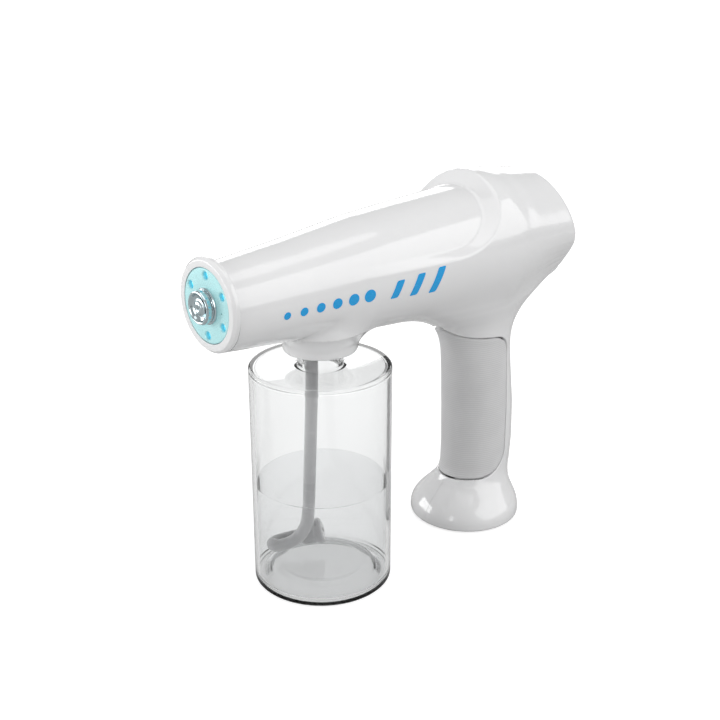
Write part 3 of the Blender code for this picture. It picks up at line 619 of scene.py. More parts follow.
def smooth_table(rows):
    """Dense, evenly smoothed copy of a table, for soft curvature along it."""
    key = np.linspace(rows[0, 0], rows[-1, 0], 1600)
    step = key[1] - key[0]
    cols = [key]
    for c in range(1, rows.shape[1]):
        v = np.interp(key, rows[:, 0], rows[:, c])
        width = max(int(2.2 / step), 1)
        kernel = np.hanning(2 * width + 3)[1:-1]
        kernel /= kernel.sum()
        pad = np.pad(v, width, mode="reflect", reflect_type="odd")
        v = np.convolve(pad, kernel, "valid")
        v = np.convolve(np.pad(v, width, mode="reflect", reflect_type="odd"), kernel, "valid")
        cols.append(v)
    return np.stack(cols, 1)


BARREL_T, REAR_T, HANDLE_T, LEAN_T = (smooth_table(t) for t in (BARREL, REAR_BODY, HANDLE, LEAN))
FLANK_T = FLANK
TAN = math.tan(math.radians(REAR_TILT))


def look(table, key, col):
    return np.interp(key, table[:, 0], table[:, col])


def smin(a, b, k):
    h = np.maximum(k - np.abs(a - b), 0) / k
    return np.minimum(a, b) - h * h * k * 0.25


def smax(a, b, k):
    return -smin(-a, -b, k)


def arc(cy, cz, ry, rz, a0, a1, n):
    return [(cy + ry * math.cos(math.radians(a0 + (a1 - a0) * k / n)),
             cz + rz * math.sin(math.radians(a0 + (a1 - a0) * k / n))) for k in range(n + 1)]


LINE_Z = 154.3


def cover_outline():
    rows = [(-90, 210), (-90, LINE_Z)]
    rows += arc(56.0, LINE_Z + 30, 34.0, 30.0, -90, -12, 24)
    rows.append((99.0, 210))
    return np.array(rows, float)


def grip_outline(inset):
    lo, hi, back = 23.4 + inset, 103.6 - inset, 111.0 - inset
    rows = [(40, lo), (88, lo)]
    rows += arc(back - 17, lo + 13, 17, 13, -90, 0, 16)[1:]
    rows += arc(back - 12, hi - 12, 12, 10.5, 0, 84, 14)
    rows += [(89, hi - 0.2), (85.4, hi + 0.4), (82, hi + 1.2), (79.6, hi + 2.1), (77.5, hi + 3.2), (74, hi + 5.2), (71, hi + 7.6), (66, hi + 8.2), (40, hi + 8.4)]
    return np.array(rows, float)


def inside(points, poly):
    """Signed distance to a polygon in side view, positive inside."""
    y, z = points[:, 1], points[:, 2]
    best = np.full(len(points), 1e9)
    odd = np.zeros(len(points), bool)
    for (ay, az), (by, bz) in zip(poly, np.roll(poly, -1, 0)):
        dy, dz = by - ay, bz - az
        t = np.clip(((y - ay) * dy + (z - az) * dz) / (dy * dy + dz * dz), 0, 1)
        best = np.minimum(best, np.hypot(y - ay - t * dy, z - az - t * dz))
        cross = (az > z) != (bz > z)
        with np.errstate(divide="ignore", invalid="ignore"):
            hit = cross & (y < (by - ay) * (z - az) / (bz - az) + ay)
        odd ^= hit
    return np.where(odd, best, -best)


COVER_POLY = cover_outline()
BAND = 3.8


def cover_depth(points):
    return inside(points, COVER_POLY)


def form(points):
    """Implicit form of the whole outer moulding: negative inside."""
    x, y, z = np.abs(points[:, 0]), points[:, 1], points[:, 2]
    cover = np.hypot(x, z - look(BARREL_T, y, 1)) - look(BARREL_T, y, 2)
    guess = y + TAN * np.clip((y - 95) / 45, 0, 1) * (z - REAR_Z)
    u = y + np.tan(np.radians(look(LEAN_T, guess, 1))) * (z - REAR_Z)
    rise = 3.3 * (lambda t: t * t * (3 - 2 * t))(np.clip((y + 10) / 100, 0, 1))
    early = np.hypot(x, z - look(BARREL_T, u, 1) - rise) - look(BARREL_T, u, 2) - rise
    middle = look(REAR_T, u, 1)
    draw = (lambda t: t * t * (3 - 2 * t))(np.clip((u - 98) / 42, 0, 1))
    angle = np.degrees(np.arctan2(x, z - middle))
    late = np.hypot(x, z - middle) - look(REAR_T, u, 2) * (1 - draw * look(FLANK_T, angle, 1))
    mix = np.clip((u - 88) / 18, 0, 1)
    mix = mix * mix * (3 - 2 * mix)
    body = early * (1 - mix) + late * mix
    near = (z > 140) & (y < 110)
    depth = np.full(len(points), -9.0)
    if near.any():
        depth[near] = cover_depth(points[near])
    ramp = smin(smax(depth / BAND, np.zeros(len(depth)), 0.2), np.ones(len(depth)), 0.2)
    ramp = np.clip(ramp, 0, 1)
    barrel = body + (cover - body) * ramp
    cap = (y + TAN * (z - REAR_Z) - REAR_Y - 0.55) * math.cos(math.radians(REAR_TILT))
    front, back, half = (look(HANDLE_T, z, c) for c in (1, 2, 3))
    yc, ry = (front + back) / 2, (back - front) / 2
    k = np.hypot(x / half, (y - yc) / ry)
    grad = np.hypot(x / half ** 2, (y - yc) / ry ** 2)
    handle = (k - 1) * k / np.maximum(grad, 1e-3)
    slope = np.clip((z - 100) / 14, 0, 1)
    handle = handle * (1 - 0.45 * slope)
    handle = smax(smax(handle, 0.3 - z, 1.6), z - 147, 2.0)
    body = smin(barrel, handle, 5.0)
    body = smax(body, cap, 2.2)
    rc = np.hypot(x, y)
    stub = rc - 17.1 - 3.0 * np.clip((z - 119) / 8, 0, 1) ** 2
    stub = smax(stub, 116.4 - z, 1.2)
    stub = smax(stub, z - 150, 1.2)
    fillet = 2.4 + 7.0 * np.clip((y + 4) / 16, 0, 1)
    h = np.maximum(fillet - np.abs(body - stub), 0) / fillet
    return np.minimum(body, stub) - h * h * fillet * 0.25


def gradient(points, eps=0.04):
    out = np.empty_like(points)
    for axis in range(3):
        step = np.zeros(3)
        step[axis] = eps
        out[:, axis] = (form(points + step) - form(points - step)) / (2 * eps)
    return out


def settle(points, rounds=3):
    """Moves points onto the form's surface."""
    p = points.copy()
    for _ in range(rounds):
        g = gradient(p)
        f = form(p)
        move = g * (f / np.maximum((g * g).sum(1), 0.05))[:, None]
        size = np.linalg.norm(move, axis=1)
        move *= np.minimum(1, 0.9 / np.maximum(size, 1e-9))[:, None]
        p -= move
    return p


def surface_net(lo, hi, h):
    """Quads around a form's surface, one vertex to a grid cell."""
    axes = [np.arange(a, b + h, h) for a, b in zip(lo, hi)]
    shape = tuple(len(a) for a in axes)
    grid = np.empty(shape, np.float32)
    yz = np.stack(np.meshgrid(axes[1], axes[2], indexing="ij"), -1).reshape(-1, 2)
    for i, x in enumerate(axes[0]):
        pts = np.column_stack([np.full(len(yz), x), yz])
        grid[i] = form(pts).reshape(shape[1:])
    neg = grid < 0
    s = [slice(None, -1), slice(1, None)]
    count = np.zeros(tuple(n - 1 for n in shape), np.int8)
    for a in (0, 1):
        for b in (0, 1):
            for c in (0, 1):
                count += neg[s[a], s[b], s[c]]
    active = (count > 0) & (count < 8)
    idx = np.argwhere(active)
    ids = np.full(active.shape, -1, np.int64)
    ids[active] = np.arange(len(idx))
    total, hits = np.zeros((len(idx), 3)), np.zeros(len(idx))
    corners = [np.array(c) for c in ((0, 0, 0), (1, 0, 0), (0, 1, 0), (1, 1, 0), (0, 0, 1), (1, 0, 1), (0, 1, 1), (1, 1, 1))]
    for i, a in enumerate(corners):
        for b in corners[i + 1:]:
            if np.abs(a - b).sum() != 1:
                continue
            va = grid[tuple((idx + a).T)]
            vb = grid[tuple((idx + b).T)]
            cross = (va < 0) != (vb < 0)
            t = np.where(cross, va / np.where(cross, va - vb, 1), 0)
            total += np.where(cross[:, None], a + t[:, None] * (b - a), 0)
            hits += cross
    verts = (idx + total / hits[:, None]) * h + np.array(lo)
    quads = []
    for axis in range(3):
        o1, o2 = [(1, 2), (2, 0), (0, 1)][axis]
        lo_s, hi_s = [slice(None)] * 3, [slice(None)] * 3
        lo_s[axis], hi_s[axis] = slice(None, -1), slice(1, None)
        a, b = neg[tuple(lo_s)], neg[tuple(hi_s)]
        e = np.argwhere(a != b)
        e = e[(e[:, o1] > 0) & (e[:, o2] > 0) & (e[:, o1] < shape[o1] - 1) & (e[:, o2] < shape[o2] - 1)]
        flip = a[tuple(e.T)]
        d1, d2 = np.zeros(3, int), np.zeros(3, int)
        d1[o1], d2[o2] = 1, 1
        q = np.stack([ids[tuple((e - d1 - d2).T)], ids[tuple((e - d2).T)], ids[tuple(e.T)], ids[tuple((e - d1).T)]], 1)
        q[~flip] = q[~flip][:, ::-1]
        quads.append(q)
    quads = np.concatenate(quads)
    quads = quads[(quads >= 0).all(1)]
    return verts, quads


def split(verts, tris, field, level=0.0, keep=None, snap=0.12):
    """Cuts triangles along field == level, and keeps one side if asked."""
    verts = verts.copy()
    g = field(verts) - level
    def edges_of(t):
        e = np.concatenate([t[:, [0, 1]], t[:, [1, 2]], t[:, [2, 0]]])
        e.sort(axis=1)
        return np.unique(e, axis=0)
    e = edges_of(tris)
    ga, gb = g[e[:, 0]], g[e[:, 1]]
    cross = ga * gb < 0
    e, ga, gb = e[cross], ga[cross], gb[cross]
    t = ga / (ga - gb)
    for mask, col in ((t < snap, 0), (t > 1 - snap, 1)):
        moved = e[mask, col]
        where = verts[e[mask, 0]] + t[mask, None] * (verts[e[mask, 1]] - verts[e[mask, 0]])
        verts[moved] = where
        g[moved] = 0.0
    e = edges_of(tris)
    ga, gb = g[e[:, 0]], g[e[:, 1]]
    cross = ga * gb < 0
    e, ga, gb = e[cross], ga[cross], gb[cross]
    pa, pb = verts[e[:, 0]].copy(), verts[e[:, 1]].copy()
    for _ in range(3):
        t = (ga / (ga - gb))[:, None]
        mid = pa + t * (pb - pa)
        gm = field(mid) - level
        same = (gm * ga) > 0
        pa = np.where(same[:, None], mid, pa); ga = np.where(same, gm, ga)
        pb = np.where(same[:, None], pb, mid); gb = np.where(same, gb, gm)
        gb = np.where(np.abs(ga - gb) < 1e-12, gb + 1e-12, gb)
    base = len(verts)
    verts = np.concatenate([verts, mid])
    g = np.concatenate([g, np.zeros(len(mid))])
    big = np.int64(len(verts) + 1)
    codes = e[:, 0] * big + e[:, 1]
    order = np.argsort(codes)
    codes_sorted = codes[order]

    def mid_of(a, b):
        lo, hi = np.minimum(a, b), np.maximum(a, b)
        c = lo * big + hi
        pos = np.searchsorted(codes_sorted, c)
        return base + order[np.minimum(pos, len(order) - 1)]

    sg = np.sign(g[tris])
    n_cross = sum((sg[:, i] * sg[:, (i + 1) % 3] < 0).astype(int) for i in range(3))
    out = [tris[n_cross == 0]]
    two = tris[n_cross == 2]
    if len(two):
        s = np.sign(g[two])
        lone = np.where(s[:, 0] * s[:, 1] > 0, 2, np.where(s[:, 1] * s[:, 2] > 0, 0, 1))
        r = np.arange(len(two))
        a, b, c = two[r, lone], two[r, (lone + 1) % 3], two[r, (lone + 2) % 3]
        ab, ac = mid_of(a, b), mid_of(a, c)
        out += [np.stack([a, ab, ac], 1), np.stack([ab, b, c], 1), np.stack([ab, c, ac], 1)]
    one = tris[n_cross == 1]
    if len(one):
        s = np.sign(g[one])
        z = np.where(s[:, 0] == 0, 0, np.where(s[:, 1] == 0, 1, 2))
        r = np.arange(len(one))
        a, b, c = one[r, z], one[r, (z + 1) % 3], one[r, (z + 2) % 3]
        bc = mid_of(b, c)
        out += [np.stack([a, b, bc], 1), np.stack([a, bc, c], 1)]
    tris = np.concatenate(out)
    tris = tris[(tris[:, 0] != tris[:, 1]) & (tris[:, 1] != tris[:, 2]) & (tris[:, 2] != tris[:, 0])]
    if keep is not None:
        side = g[tris].sum(1) * keep
        tris = tris[side > 0]
    return compact(verts, tris)


def compact(verts, tris):
    used = np.unique(tris)
    remap = np.full(len(verts), -1)
    remap[used] = np.arange(len(used))
    return verts[used], remap[tris]


def largest(verts, tris):
    """Keeps the biggest connected sheet."""
    label = np.arange(len(verts))
    while True:
        low = label[tris].min(1)
        new = label.copy()
        for c in range(3):
            np.minimum.at(new, tris[:, c], low)
        new = new[new]
        if (new == label).all():
            break
        label = new
    values, counts = np.unique(label[tris[:, 0]], return_counts=True)
    best = values[counts.argmax()]
    return compact(verts, tris[label[tris[:, 0]] == best])


def shell(verts, tris, normals, thickness, lift=0.0):
    """Closes a sheet into a thin solid: outer face, inner face and rims."""
    n = len(verts)
    outer = verts + normals * lift
    inner = verts - normals * thickness
    e = np.concatenate([tris[:, [0, 1]], tris[:, [1, 2]], tris[:, [2, 0]]])
    key = np.sort(e, axis=1)
    _, inverse, counts = np.unique(key, axis=0, return_inverse=True, return_counts=True)
    rim = e[counts[inverse.ravel()] == 1]
    faces = list(map(tuple, tris)) + list(map(tuple, tris[:, ::-1] + n))
    faces += [(b, a, a + n, b + n) for a, b in rim]
    return np.concatenate([outer, inner]), faces


def unit(v):
    return v / np.maximum(np.linalg.norm(v, axis=1), 1e-9)[:, None]


def lip(verts, normals, distance, radius):
    """Rolls a sheet's border inwards so that a seam has rounded shoulders."""
    d = np.clip(distance, 0, radius)
    drop = radius - np.sqrt(np.maximum(radius ** 2 - (radius - d) ** 2, 0))
    return verts - normals * drop[:, None]


STEP = 0.95
net_v, net_q = surface_net((-1.4, -60.0, -1.5), (36.5, 150.0, 188.0), STEP)
net_v = settle(net_v)
net_t = np.concatenate([net_q[:, [0, 1, 2]], net_q[:, [0, 2, 3]]])

rear_axis = np.array((0, math.cos(math.radians(REAR_TILT)), math.sin(math.radians(REAR_TILT))))
rear_mid = np.array((0, REAR_Y, REAR_Z))


def rear_radius(p):
    d = p - rear_mid
    along = d @ rear_axis
    flat = d - along[:, None] * rear_axis
    up = flat @ np.array((0, -rear_axis[2], rear_axis[1]))
    angle = np.degrees(np.arctan2(np.abs(p[:, 0]), up))
    return np.linalg.norm(flat, axis=1) / (1 - look(FLANK_T, angle, 1)), along


def keep_rear(p):
    radius, along = rear_radius(p)
    return np.maximum(radius - 27.0, -4.0 - along)


def keep_foot(p):
    return np.maximum(np.hypot(p[:, 0], p[:, 1] - 97.8) - 26.1, p[:, 2] - 1.0)


def keep_collar(p):
    return np.maximum(np.hypot(p[:, 0], p[:, 1]) - 15.4, p[:, 2] - 117.8)


GRIP_OUT, GRIP_IN = grip_outline(0.1), grip_outline(0.8)
v, t = net_v, net_t
v, t = split(v, t, lambda p: p[:, 0], 0.06, 1)
v, t = split(v, t, lambda p: p[:, 1], -56.0, 1)
v, t = split(v, t, keep_rear, 0.0, 1)
v, t = split(v, t, keep_foot, 0.0, 1)
v, t = split(v, t, keep_collar, 0.0, 1)
v = settle(v, 1)
half_v, half_t = v, t


def across(field, p, g, eps=0.05):
    """Unit direction along the surface in which a field grows."""
    out = np.empty_like(p)
    for axis in range(3):
        step = np.zeros(3)
        step[axis] = eps
        out[:, axis] = field(p + step) - field(p - step)
    out -= g * (out * g).sum(1)[:, None]
    return unit(out)


def rolled_normals(g, toward, distance, radius):
    t = np.clip((radius - np.clip(distance, 0, radius)) / radius, 0, 1)[:, None]
    return unit(g * np.sqrt(1 - t * t) - toward * t)


def seam_piece(v, t, field, rows, radius):
    """Cuts a sheet at field = 0 with extra rows beside the cut, then rolls the lip."""
    v, t = split(v, t, field, 0.0, 1)
    for r in rows:
        v, t = split(v, t, field, r, None)
    v, t = largest(v, t)
    g = unit(gradient(v))
    d = field(v)
    return lip(v, g, d, radius), t, g, rolled_normals(g, across(field, v, g), d, radius)


def housing_field(p):
    return -inside(p, GRIP_OUT)


def cover_field(p):
    return inside(p, COVER_POLY)


ROWS = (0.06, 0.16, 0.3, 0.5)
hv, ht = split(half_v, half_t, lambda p: -cover_field(p), 0.0, 1)
hv, ht, hn, hs = seam_piece(hv, ht, housing_field, ROWS, 0.5)
sv, sf = shell(hv, ht, hn, 2.0)
make("housing_right_shell", sv, sf, M["gloss_white"], "root", ("housing_right",), sharp=50, skin=(len(ht), hs))
mv = sv * np.array((-1, 1, 1))
SCREWS = [(-36.0, 134.5, 11.6), (45.0, 131.5, 18.6), (117.0, 161.0, 29.0), (96.0, 9.6, 23.5)]
left = make("housing_left_shell", mv, [f[::-1] for f in sf], M["gloss_white"], "root", ("housing_left",), sharp=50,
            skin=(len(ht), hs * np.array((-1, 1, 1))))
for sy, sz, reach in SCREWS:
    well_v, well_f = lathe([(0, 45), (3.1, 45), (3.1, reach - 5.0), (0, reach - 5.0)], 40)
    apply_boolean(left, tool(well_v, well_f, at(0, sy, sz, SIDE_IN)))


def whole(v, t):
    """Mirrors a half sheet over the middle plane and welds it there."""
    n = len(v)
    on_plane = np.abs(v[:, 0]) < 0.02
    v = v.copy()
    v[on_plane, 0] = 0.0
    link = np.where(on_plane, np.arange(n), np.arange(n) + n)
    return compact(np.concatenate([v, v * np.array((-1, 1, 1))]), np.concatenate([t, link[t][:, ::-1]]))


# The cover crosses the middle plane.
cv, ct = split(net_v, net_t, lambda p: p[:, 0], 0.0, 1)
cv[np.abs(cv[:, 0]) < 1e-3, 0] = 0.0
cv, ct = split(cv, ct, lambda p: p[:, 1], -56.0, 1)
cv, ct = split(cv, ct, cover_field, 0.0, 1)
for level in (0.7, BAND - 0.7, BAND + 0.7):
    cv, ct = split(cv, ct, cover_field, level, None)
cv, ct = largest(cv, ct)
cv = settle(cv, 1)
both_v, both_t = whole(cv, ct)
cn = unit(gradient(both_v))
sv, sf = shell(both_v, both_t, cn, 1.9)
make("barrel_cover_shell", sv, sf, M["gloss_white"], "root", ("barrel_cover",), sharp=50, skin=(len(both_t), cn))

# Squeeze grip: the front of the handle, wrapped around both sides.
gv, gt = split(net_v, net_t, lambda p: p[:, 0], 0.0, 1)
gv[np.abs(gv[:, 0]) < 1e-3, 0] = 0.0


def grip_field(p):
    return inside(p, GRIP_IN)


gv, gt = split(gv, gt, grip_field, 0.0, 1)
for r in ROWS:
    gv, gt = split(gv, gt, grip_field, r, None)
gv, gt = largest(gv, gt)
both_v, both_t = whole(gv, gt)
gn = unit(gradient(both_v))
gd = grip_field(both_v)
gs = rolled_normals(gn, across(grip_field, both_v, gn), gd, 0.5)
sv, sf = shell(lip(both_v, gn, gd, 0.5), both_t, gn, 2.0)
make("squeeze_grip", sv, sf, M["grip_grey"], "grip", ("squeeze_trigger",), sharp=50, skin=(len(both_t), gs))

# Liner behind the grip, so that the seam looks into a moulded channel.
lv, lt = split(net_v, net_t, lambda p: p[:, 0], 0.06, 1)
lv, lt = split(lv, lt, lambda p: inside(p, grip_outline(-1.6)), 0.0, 1)
lv, lt = split(lv, lt, lambda p: -inside(p, grip_outline(2.4)), 0.0, 1)
lv, lt = split(lv, lt, lambda p: np.hypot(p[:, 1] - 91.0, p[:, 2] - 28.0) - 3.2, 0.0, 1)
lv, lt = split(lv, lt, lambda p: p[:, 0], 4.0, 1)
lv, lt = largest(lv, lt)
ln = unit(gradient(lv))
sv, sf = shell(lv - ln * 3.4, lt, ln, 0.6)
make("grip_liner_right", sv, sf, M["gloss_white"], "root", sharp=50)
sv = sv * np.array((-1, 1, 1))
make("grip_liner_left", sv, [f[::-1] for f in sf], M["gloss_white"], "root", sharp=50)

# ------------------------------------------------- printed side graphic
def graphic(p):
    """A generic row of growing drops and slanted bars; positive inside."""
    s = p[:, 1]
    w = p[:, 2] - 145.0 - 0.025 * (p[:, 1] + 36)
    best = np.full(len(p), -1e9)
    for k in range(6):
        r = 1.7 + 0.24 * k
        best = np.maximum(best, r - np.hypot(s + 33.6 - 8.3 * k, w))
    for k in range(3):
        c, half = 22.5 + 11.0 * k, 4.0 + 0.9 * k
        skew = (s - c) - 0.42 * w
        best = np.maximum(best, smin(1.9 - np.abs(skew) * 0.92, half - np.abs(w), 0.8))
    return best


gp = half_v
pv, pt = split(half_v, half_t, lambda p: np.minimum.reduce([p[:, 0] - 8, p[:, 1] + 38, 60 - p[:, 1], p[:, 2] - 134, 154.2 - p[:, 2]]), 0.0, 1)


def densify(v, t):
    e = np.concatenate([t[:, [0, 1]], t[:, [1, 2]], t[:, [2, 0]]])
    key, inverse = np.unique(np.sort(e, 1), axis=0, return_inverse=True)
    inverse = inverse.ravel()
    mids = (v[key[:, 0]] + v[key[:, 1]]) / 2
    n, m = len(v), len(t)
    a, b, c = inverse[:m] + n, inverse[m:2 * m] + n, inverse[2 * m:] + n
    t = np.concatenate([np.stack([t[:, 0], a, c], 1), np.stack([t[:, 1], b, a], 1), np.stack([t[:, 2], c, b], 1), np.stack([a, b, c], 1)])
    return np.concatenate([v, mids]), t


pv, pt = densify(pv, pt)
pv = settle(pv, 1)
pv, pt = split(pv, pt, graphic, 0.0, 1)
pn = unit(gradient(pv))
sv, sf = shell(pv, pt, pn, -0.03, 0.07)
make("side_graphic", sv, sf, BLUE, "root", sharp=60, skin=(len(pt), pn))

# =============================================================== nozzle end
FRONT_Z, FRONT_R, PLATE_R, LED_R = 149.9, 20.5, 16.0, 13.1
NOZZLE = at(0, 0, FRONT_Z, FORWARD)
turned("front_bezel_ring", [(16.45, 59.9, 0.15), (19.3, 59.9, 0.7), (20.55, 58.6, 0.9), (20.55, 56.9, 0.5), (19.3, 56.15, 0.2), (16.45, 56.15, 0.1)],
       M["gloss_white"], "root", ("front_bezel",), NOZZLE, 160, 0.3, None, 6)
plate = turned("nozzle_plate_disc", [(6.2, 59.75, 0.25), (15.9, 59.75, 0.15), (16.15, 59.5, 0.15), (16.15, 57.6, 0.1), (6.2, 57.6, 0.1)],
               M["satin_plate"], "root", ("nozzle_plate",), NOZZLE, 160, 0.2)
for k in range(6):
    a = math.tau * k / 6
    hv_, hf_ = lathe([(0, 62), (2.25, 62), (2.25, 59.8), (1.8, 59.35), (1.8, 50), (0, 50)], 40)
    apply_boolean(plate, tool(hv_, hf_, at(LED_R * math.sin(a), 0, FRONT_Z + LED_R * math.cos(a), FORWARD)))
hv_, hf_ = lathe([(0, 62), (0.42, 62), (0.42, 58.6), (0, 58.6)], 24)
apply_boolean(plate, tool(hv_, hf_, at(10.9, 0, FRONT_Z - 0.6, FORWARD)))
lens_v, lens_f = lathe(round_corners([(11.0, 56.3), (15.2, 56.3), (15.2, 55.0), (11.0, 55.0)], 0.2, 3, True), 96)
lens_v = [tuple(p) for p in lens_v]
for k in range(6):
    a = math.tau * k / 6
    dome = [(1.62 * math.sin(b), 57.7 + 1.1 * math.cos(b)) for b in np.linspace(0, math.pi / 2, 9)] + [(1.62, 56.2), (0, 56.2)]
    dv, df = lathe([(0, dome[0][1])] + dome[1:], 32)
    base = len(lens_v)
    lens_v += [(x + LED_R * math.sin(a), y + LED_R * math.cos(a), z) for x, y, z in dv]
    lens_f += [[i + base for i in f] for f in df]
make("light_ring_lens", lens_v, lens_f, M["cyan_lens"], "root", ("led_light_ring",), NOZZLE, 40)
turned("nozzle_base_flange", [(3.1, 61.25), (6.5, 61.25, 0.2), (6.95, 60.75, 0.3), (7.5, 60.7, 0.2), (7.95, 60.3, 0.25), (7.95, 59.8, 0.1),
                              (6.0, 59.8, 0.1), (6.0, 55.2), (3.1, 55.2)], M["chrome"], "root", ("nozzle_base",), NOZZLE, 96, 0.15)


def knurl(r, z, a):
    return r + (0.14 * math.cos(30 * a) if r > 7.0 and 61.8 < z < 63.4 else 0.0)


turned("nozzle_adjust_ring", [(3.2, 62.15, 0.2), (4.4, 62.35, 0.6), (5.5, 63.0, 0.6), (6.05, 64.0, 0.5), (6.6, 64.3, 0.25), (7.05, 64.1, 0.35), (7.3, 63.4, 0.1),
                              (7.3, 62.9, 0), (7.3, 62.3, 0), (7.3, 61.9, 0.2), (6.8, 61.45, 0.2), (3.2, 61.45)],
       M["chrome"], "nozzle_collar", ("nozzle_ring",), NOZZLE, 144, 0.15, knurl, 6)
turned("nozzle_spray_tip", [(0.45, 63.5, 0.1), (0.9, 64.05, 0.2), (1.7, 64.3, 0.4), (2.6, 64.0, 0.5), (3.1, 63.4, 0.3), (3.9, 63.25, 0.25), (3.85, 62.95, 0.1), (2.8, 62.95), (2.8, 55.4), (0.45, 55.4)],
       M["chrome"], "root", ("nozzle_tip",), NOZZLE, 96, 0.15, None, 6)

# ========================================================== bottle and hose
NECK_R, PITCH, TURNS = 10.6, 4.0, 1.25


def bottle_ridge(r, z, a):
    if r < NECK_R - 0.01 or r > NECK_R + 0.01 or not 111.5 < z < 124.2:
        return r
    best = 9.0
    for wrap_ in (0, 1):
        ang = a + math.tau * wrap_
        if ang <= TURNS * math.tau + 0.15:
            fade = min(1.0, ang / 0.5, max(0.0, (TURNS * math.tau + 0.15 - ang) / 0.5))
            d = abs(z - (116.2 + PITCH * ang / math.tau))
            best = min(best, d + (1 - fade) * 2)
    return r + 1.25 * max(0.0, 1 - (best / 1.05) ** 2)


neck_rows = [(NECK_R, 124.0 - 0.3 * k, 0) for k in range(44)]
profile = [(0, 7.6), (18, 7.2, 3), (23.6, 6.2, 2.5), (27.6, 2.6, 2), (29.6, 2.2, 1.6), (31.0, 3.9, 1.5), (31.0, 105.8, 1.6), (29.8, 107.0, 0.8),
           (9.9, 107.0, 0.9), (8.4, 108.2, 0.8), (8.4, 124.6, 0.4)] + [(NECK_R, 124.6, 0.4)] + neck_rows + \
          [(NECK_R, 109.6, 0.6), (12.2, 108.85, 0.3), (32.1, 108.8, 0.8), (33.0, 107.9, 0.8), (33.0, 0.9, 0.9), (32.1, 0, 0.8), (26.4, 0, 1.2), (23.0, 4.6, 2.0), (19, 5.4, 3), (0, 5.6)]
turned("bottle_clear_shell", profile, M["clear_bottle"], "tank", ("bottle",), at(0, 0, 0), 144, 0.3, bottle_ridge, 4, 30)

LEVEL = 50.6
turned("disinfectant_fill", [(0, LEVEL - 0.25), (28, LEVEL - 0.25, 1.0), (30.2, LEVEL, 0.8), (30.94, LEVEL + 0.75, 0.1), (30.94, 4.1, 1.4), (29.5, 2.35, 1.4), (27.7, 2.75, 1.6),
                             (23.75, 6.4, 2.2), (18.1, 7.4, 3), (0, 7.8)],
       LIQUID, "tank", (), at(0, 0, 0), 144, 0.3, None, 4, 30)

END, WAY = Vector((-12.0, -4.2, 16.9)), Vector((0.63, 0.735, 0.25)).normalized()
HOSE = [(0, -5, 123.6), (0, -5, 104), (-0.5, -5.6, 80), (-1.1, -6.3, 56), (-1.5, -6.8, 38), (-1.9, -7.5, 30.0), (-3.0, -9.2, 24.4),
        (-5.0, -11.9, 20.3), (-7.7, -15.0, 17.8), (-10.7, -17.5, 16.3), (-13.7, -18.2, 15.5), (-16.2, -16.7, 15.0), (-17.2, -13.6, 14.8),
        (-16.4, -10.3, 15.0), tuple(END - WAY * 3.2), tuple(END), tuple(END + WAY * 2.8)]
hose_v, hose_f = pipe(catmull(HOSE, 8), 2.95, 32, 2.15)
make("dip_hose", hose_v, hose_f, M["milky_tube"], "root", ("suction_hose",), sharp=50)
FILTER = at(*END, WAY.to_track_quat("Z", "Y").to_matrix().to_4x4())


def filter_slots(r, z, a):
    return r - (0.35 if 1.8 < z < 5.6 and math.cos(9 * a) > 0.5 and r > 4.4 else 0)


turned("hose_filter_weight", [(1.2, 11.4, 0.3), (4.4, 11.3, 0.6), (5.8, 10.8, 0.6), (6.4, 10.0, 0.5), (6.4, 8.3, 0.4), (5.5, 7.2, 0.15), (5.5, 7.0, 0.1), (5.6, 6.8, 0),
                              (5.6, 5.7, 0), (5.6, 5.5, 0), (5.6, 4.0, 0), (5.4, 1.9, 0), (5.35, 1.7, 0.2), (4.7, 0.7, 0.5), (4.0, 0.0, 0.2), (3.45, 0.0, 0.1), (3.45, 3.4), (1.2, 3.4)],
       M["milky_tube"], "root", ("hose_filter",), FILTER, 96, 0.2, filter_slots)
turned("collar_threaded_insert", [(0, 129.2), (6.4, 129.2), (6.4, 128.4), (14.9, 128.4), (14.9, 116.9), (12.6, 116.9), (12.6, 126.4), (3.4, 126.4, 0), (3.4, 128.9, 0), (0, 128.9)],
       M["gloss_white"], "root", ("collar_insert",), at(0, 0, 0), 96, 0.25)

# ================================================================ rear panel
def teardrop(r, z, a):
    """The panel narrows with the rim; local -y points up."""
    angle = math.degrees(abs(math.atan2(math.cos(a), -math.sin(a))))
    return r * (1 - float(np.interp(angle, FLANK[:, 0], FLANK[:, 1])) * min(1.0, r / 26.7) ** 2)


panel = turned("rear_panel_cap", [(0, 1.0), (10, 0.9, 2), (18, 0.5, 2), (24, -0.2, 2), (26.3, -0.9, 0.5), (26.7, -1.5, 0.4), (26.7, -2.6, 0.2), (0, -2.6)],
               M["gloss_white"], "root", ("rear_panel",), REAR, 160, 0.3, teardrop)
apply_boolean(panel, tool(*prism(rounded_rect(0, -10, 18.2, 10.2, 1.6), 12, -6), REAR))
apply_boolean(panel, tool(*prism(circle(0, 4, 4.65), 12, -6), REAR))
apply_boolean(panel, tool(*prism(circle(12, 4, 3.05), 12, -6), REAR))
apply_boolean(panel, tool(*prism(rounded_rect(0, 17.3, 10.2, 4.4, 2.1), 12, -6), REAR))
bv, bf = cushion_block(rounded_rect(0, -10, 17.6, 9.6, 1.4), -2.2, 1.0, 0.5)
make("display_window", bv, bf, M["display_lens"], "root", ("display_lens",), REAR, 40)
KEY = REAR @ Matrix.Translation((0, 4.0 * MM, 0))
turned("power_key_cap", [(0, 1.75), (2.2, 1.85, 1), (3.5, 2.1, 0.4), (4.25, 1.5, 0.5), (4.25, -2.9), (5.4, -2.9), (5.4, -3.8), (0, -3.8)],
       M["button_grey"], "power_key", ("power_button",), KEY, 72, 0.2)
KEY2 = REAR @ Matrix.Translation((12.0 * MM, 4.0 * MM, 0))
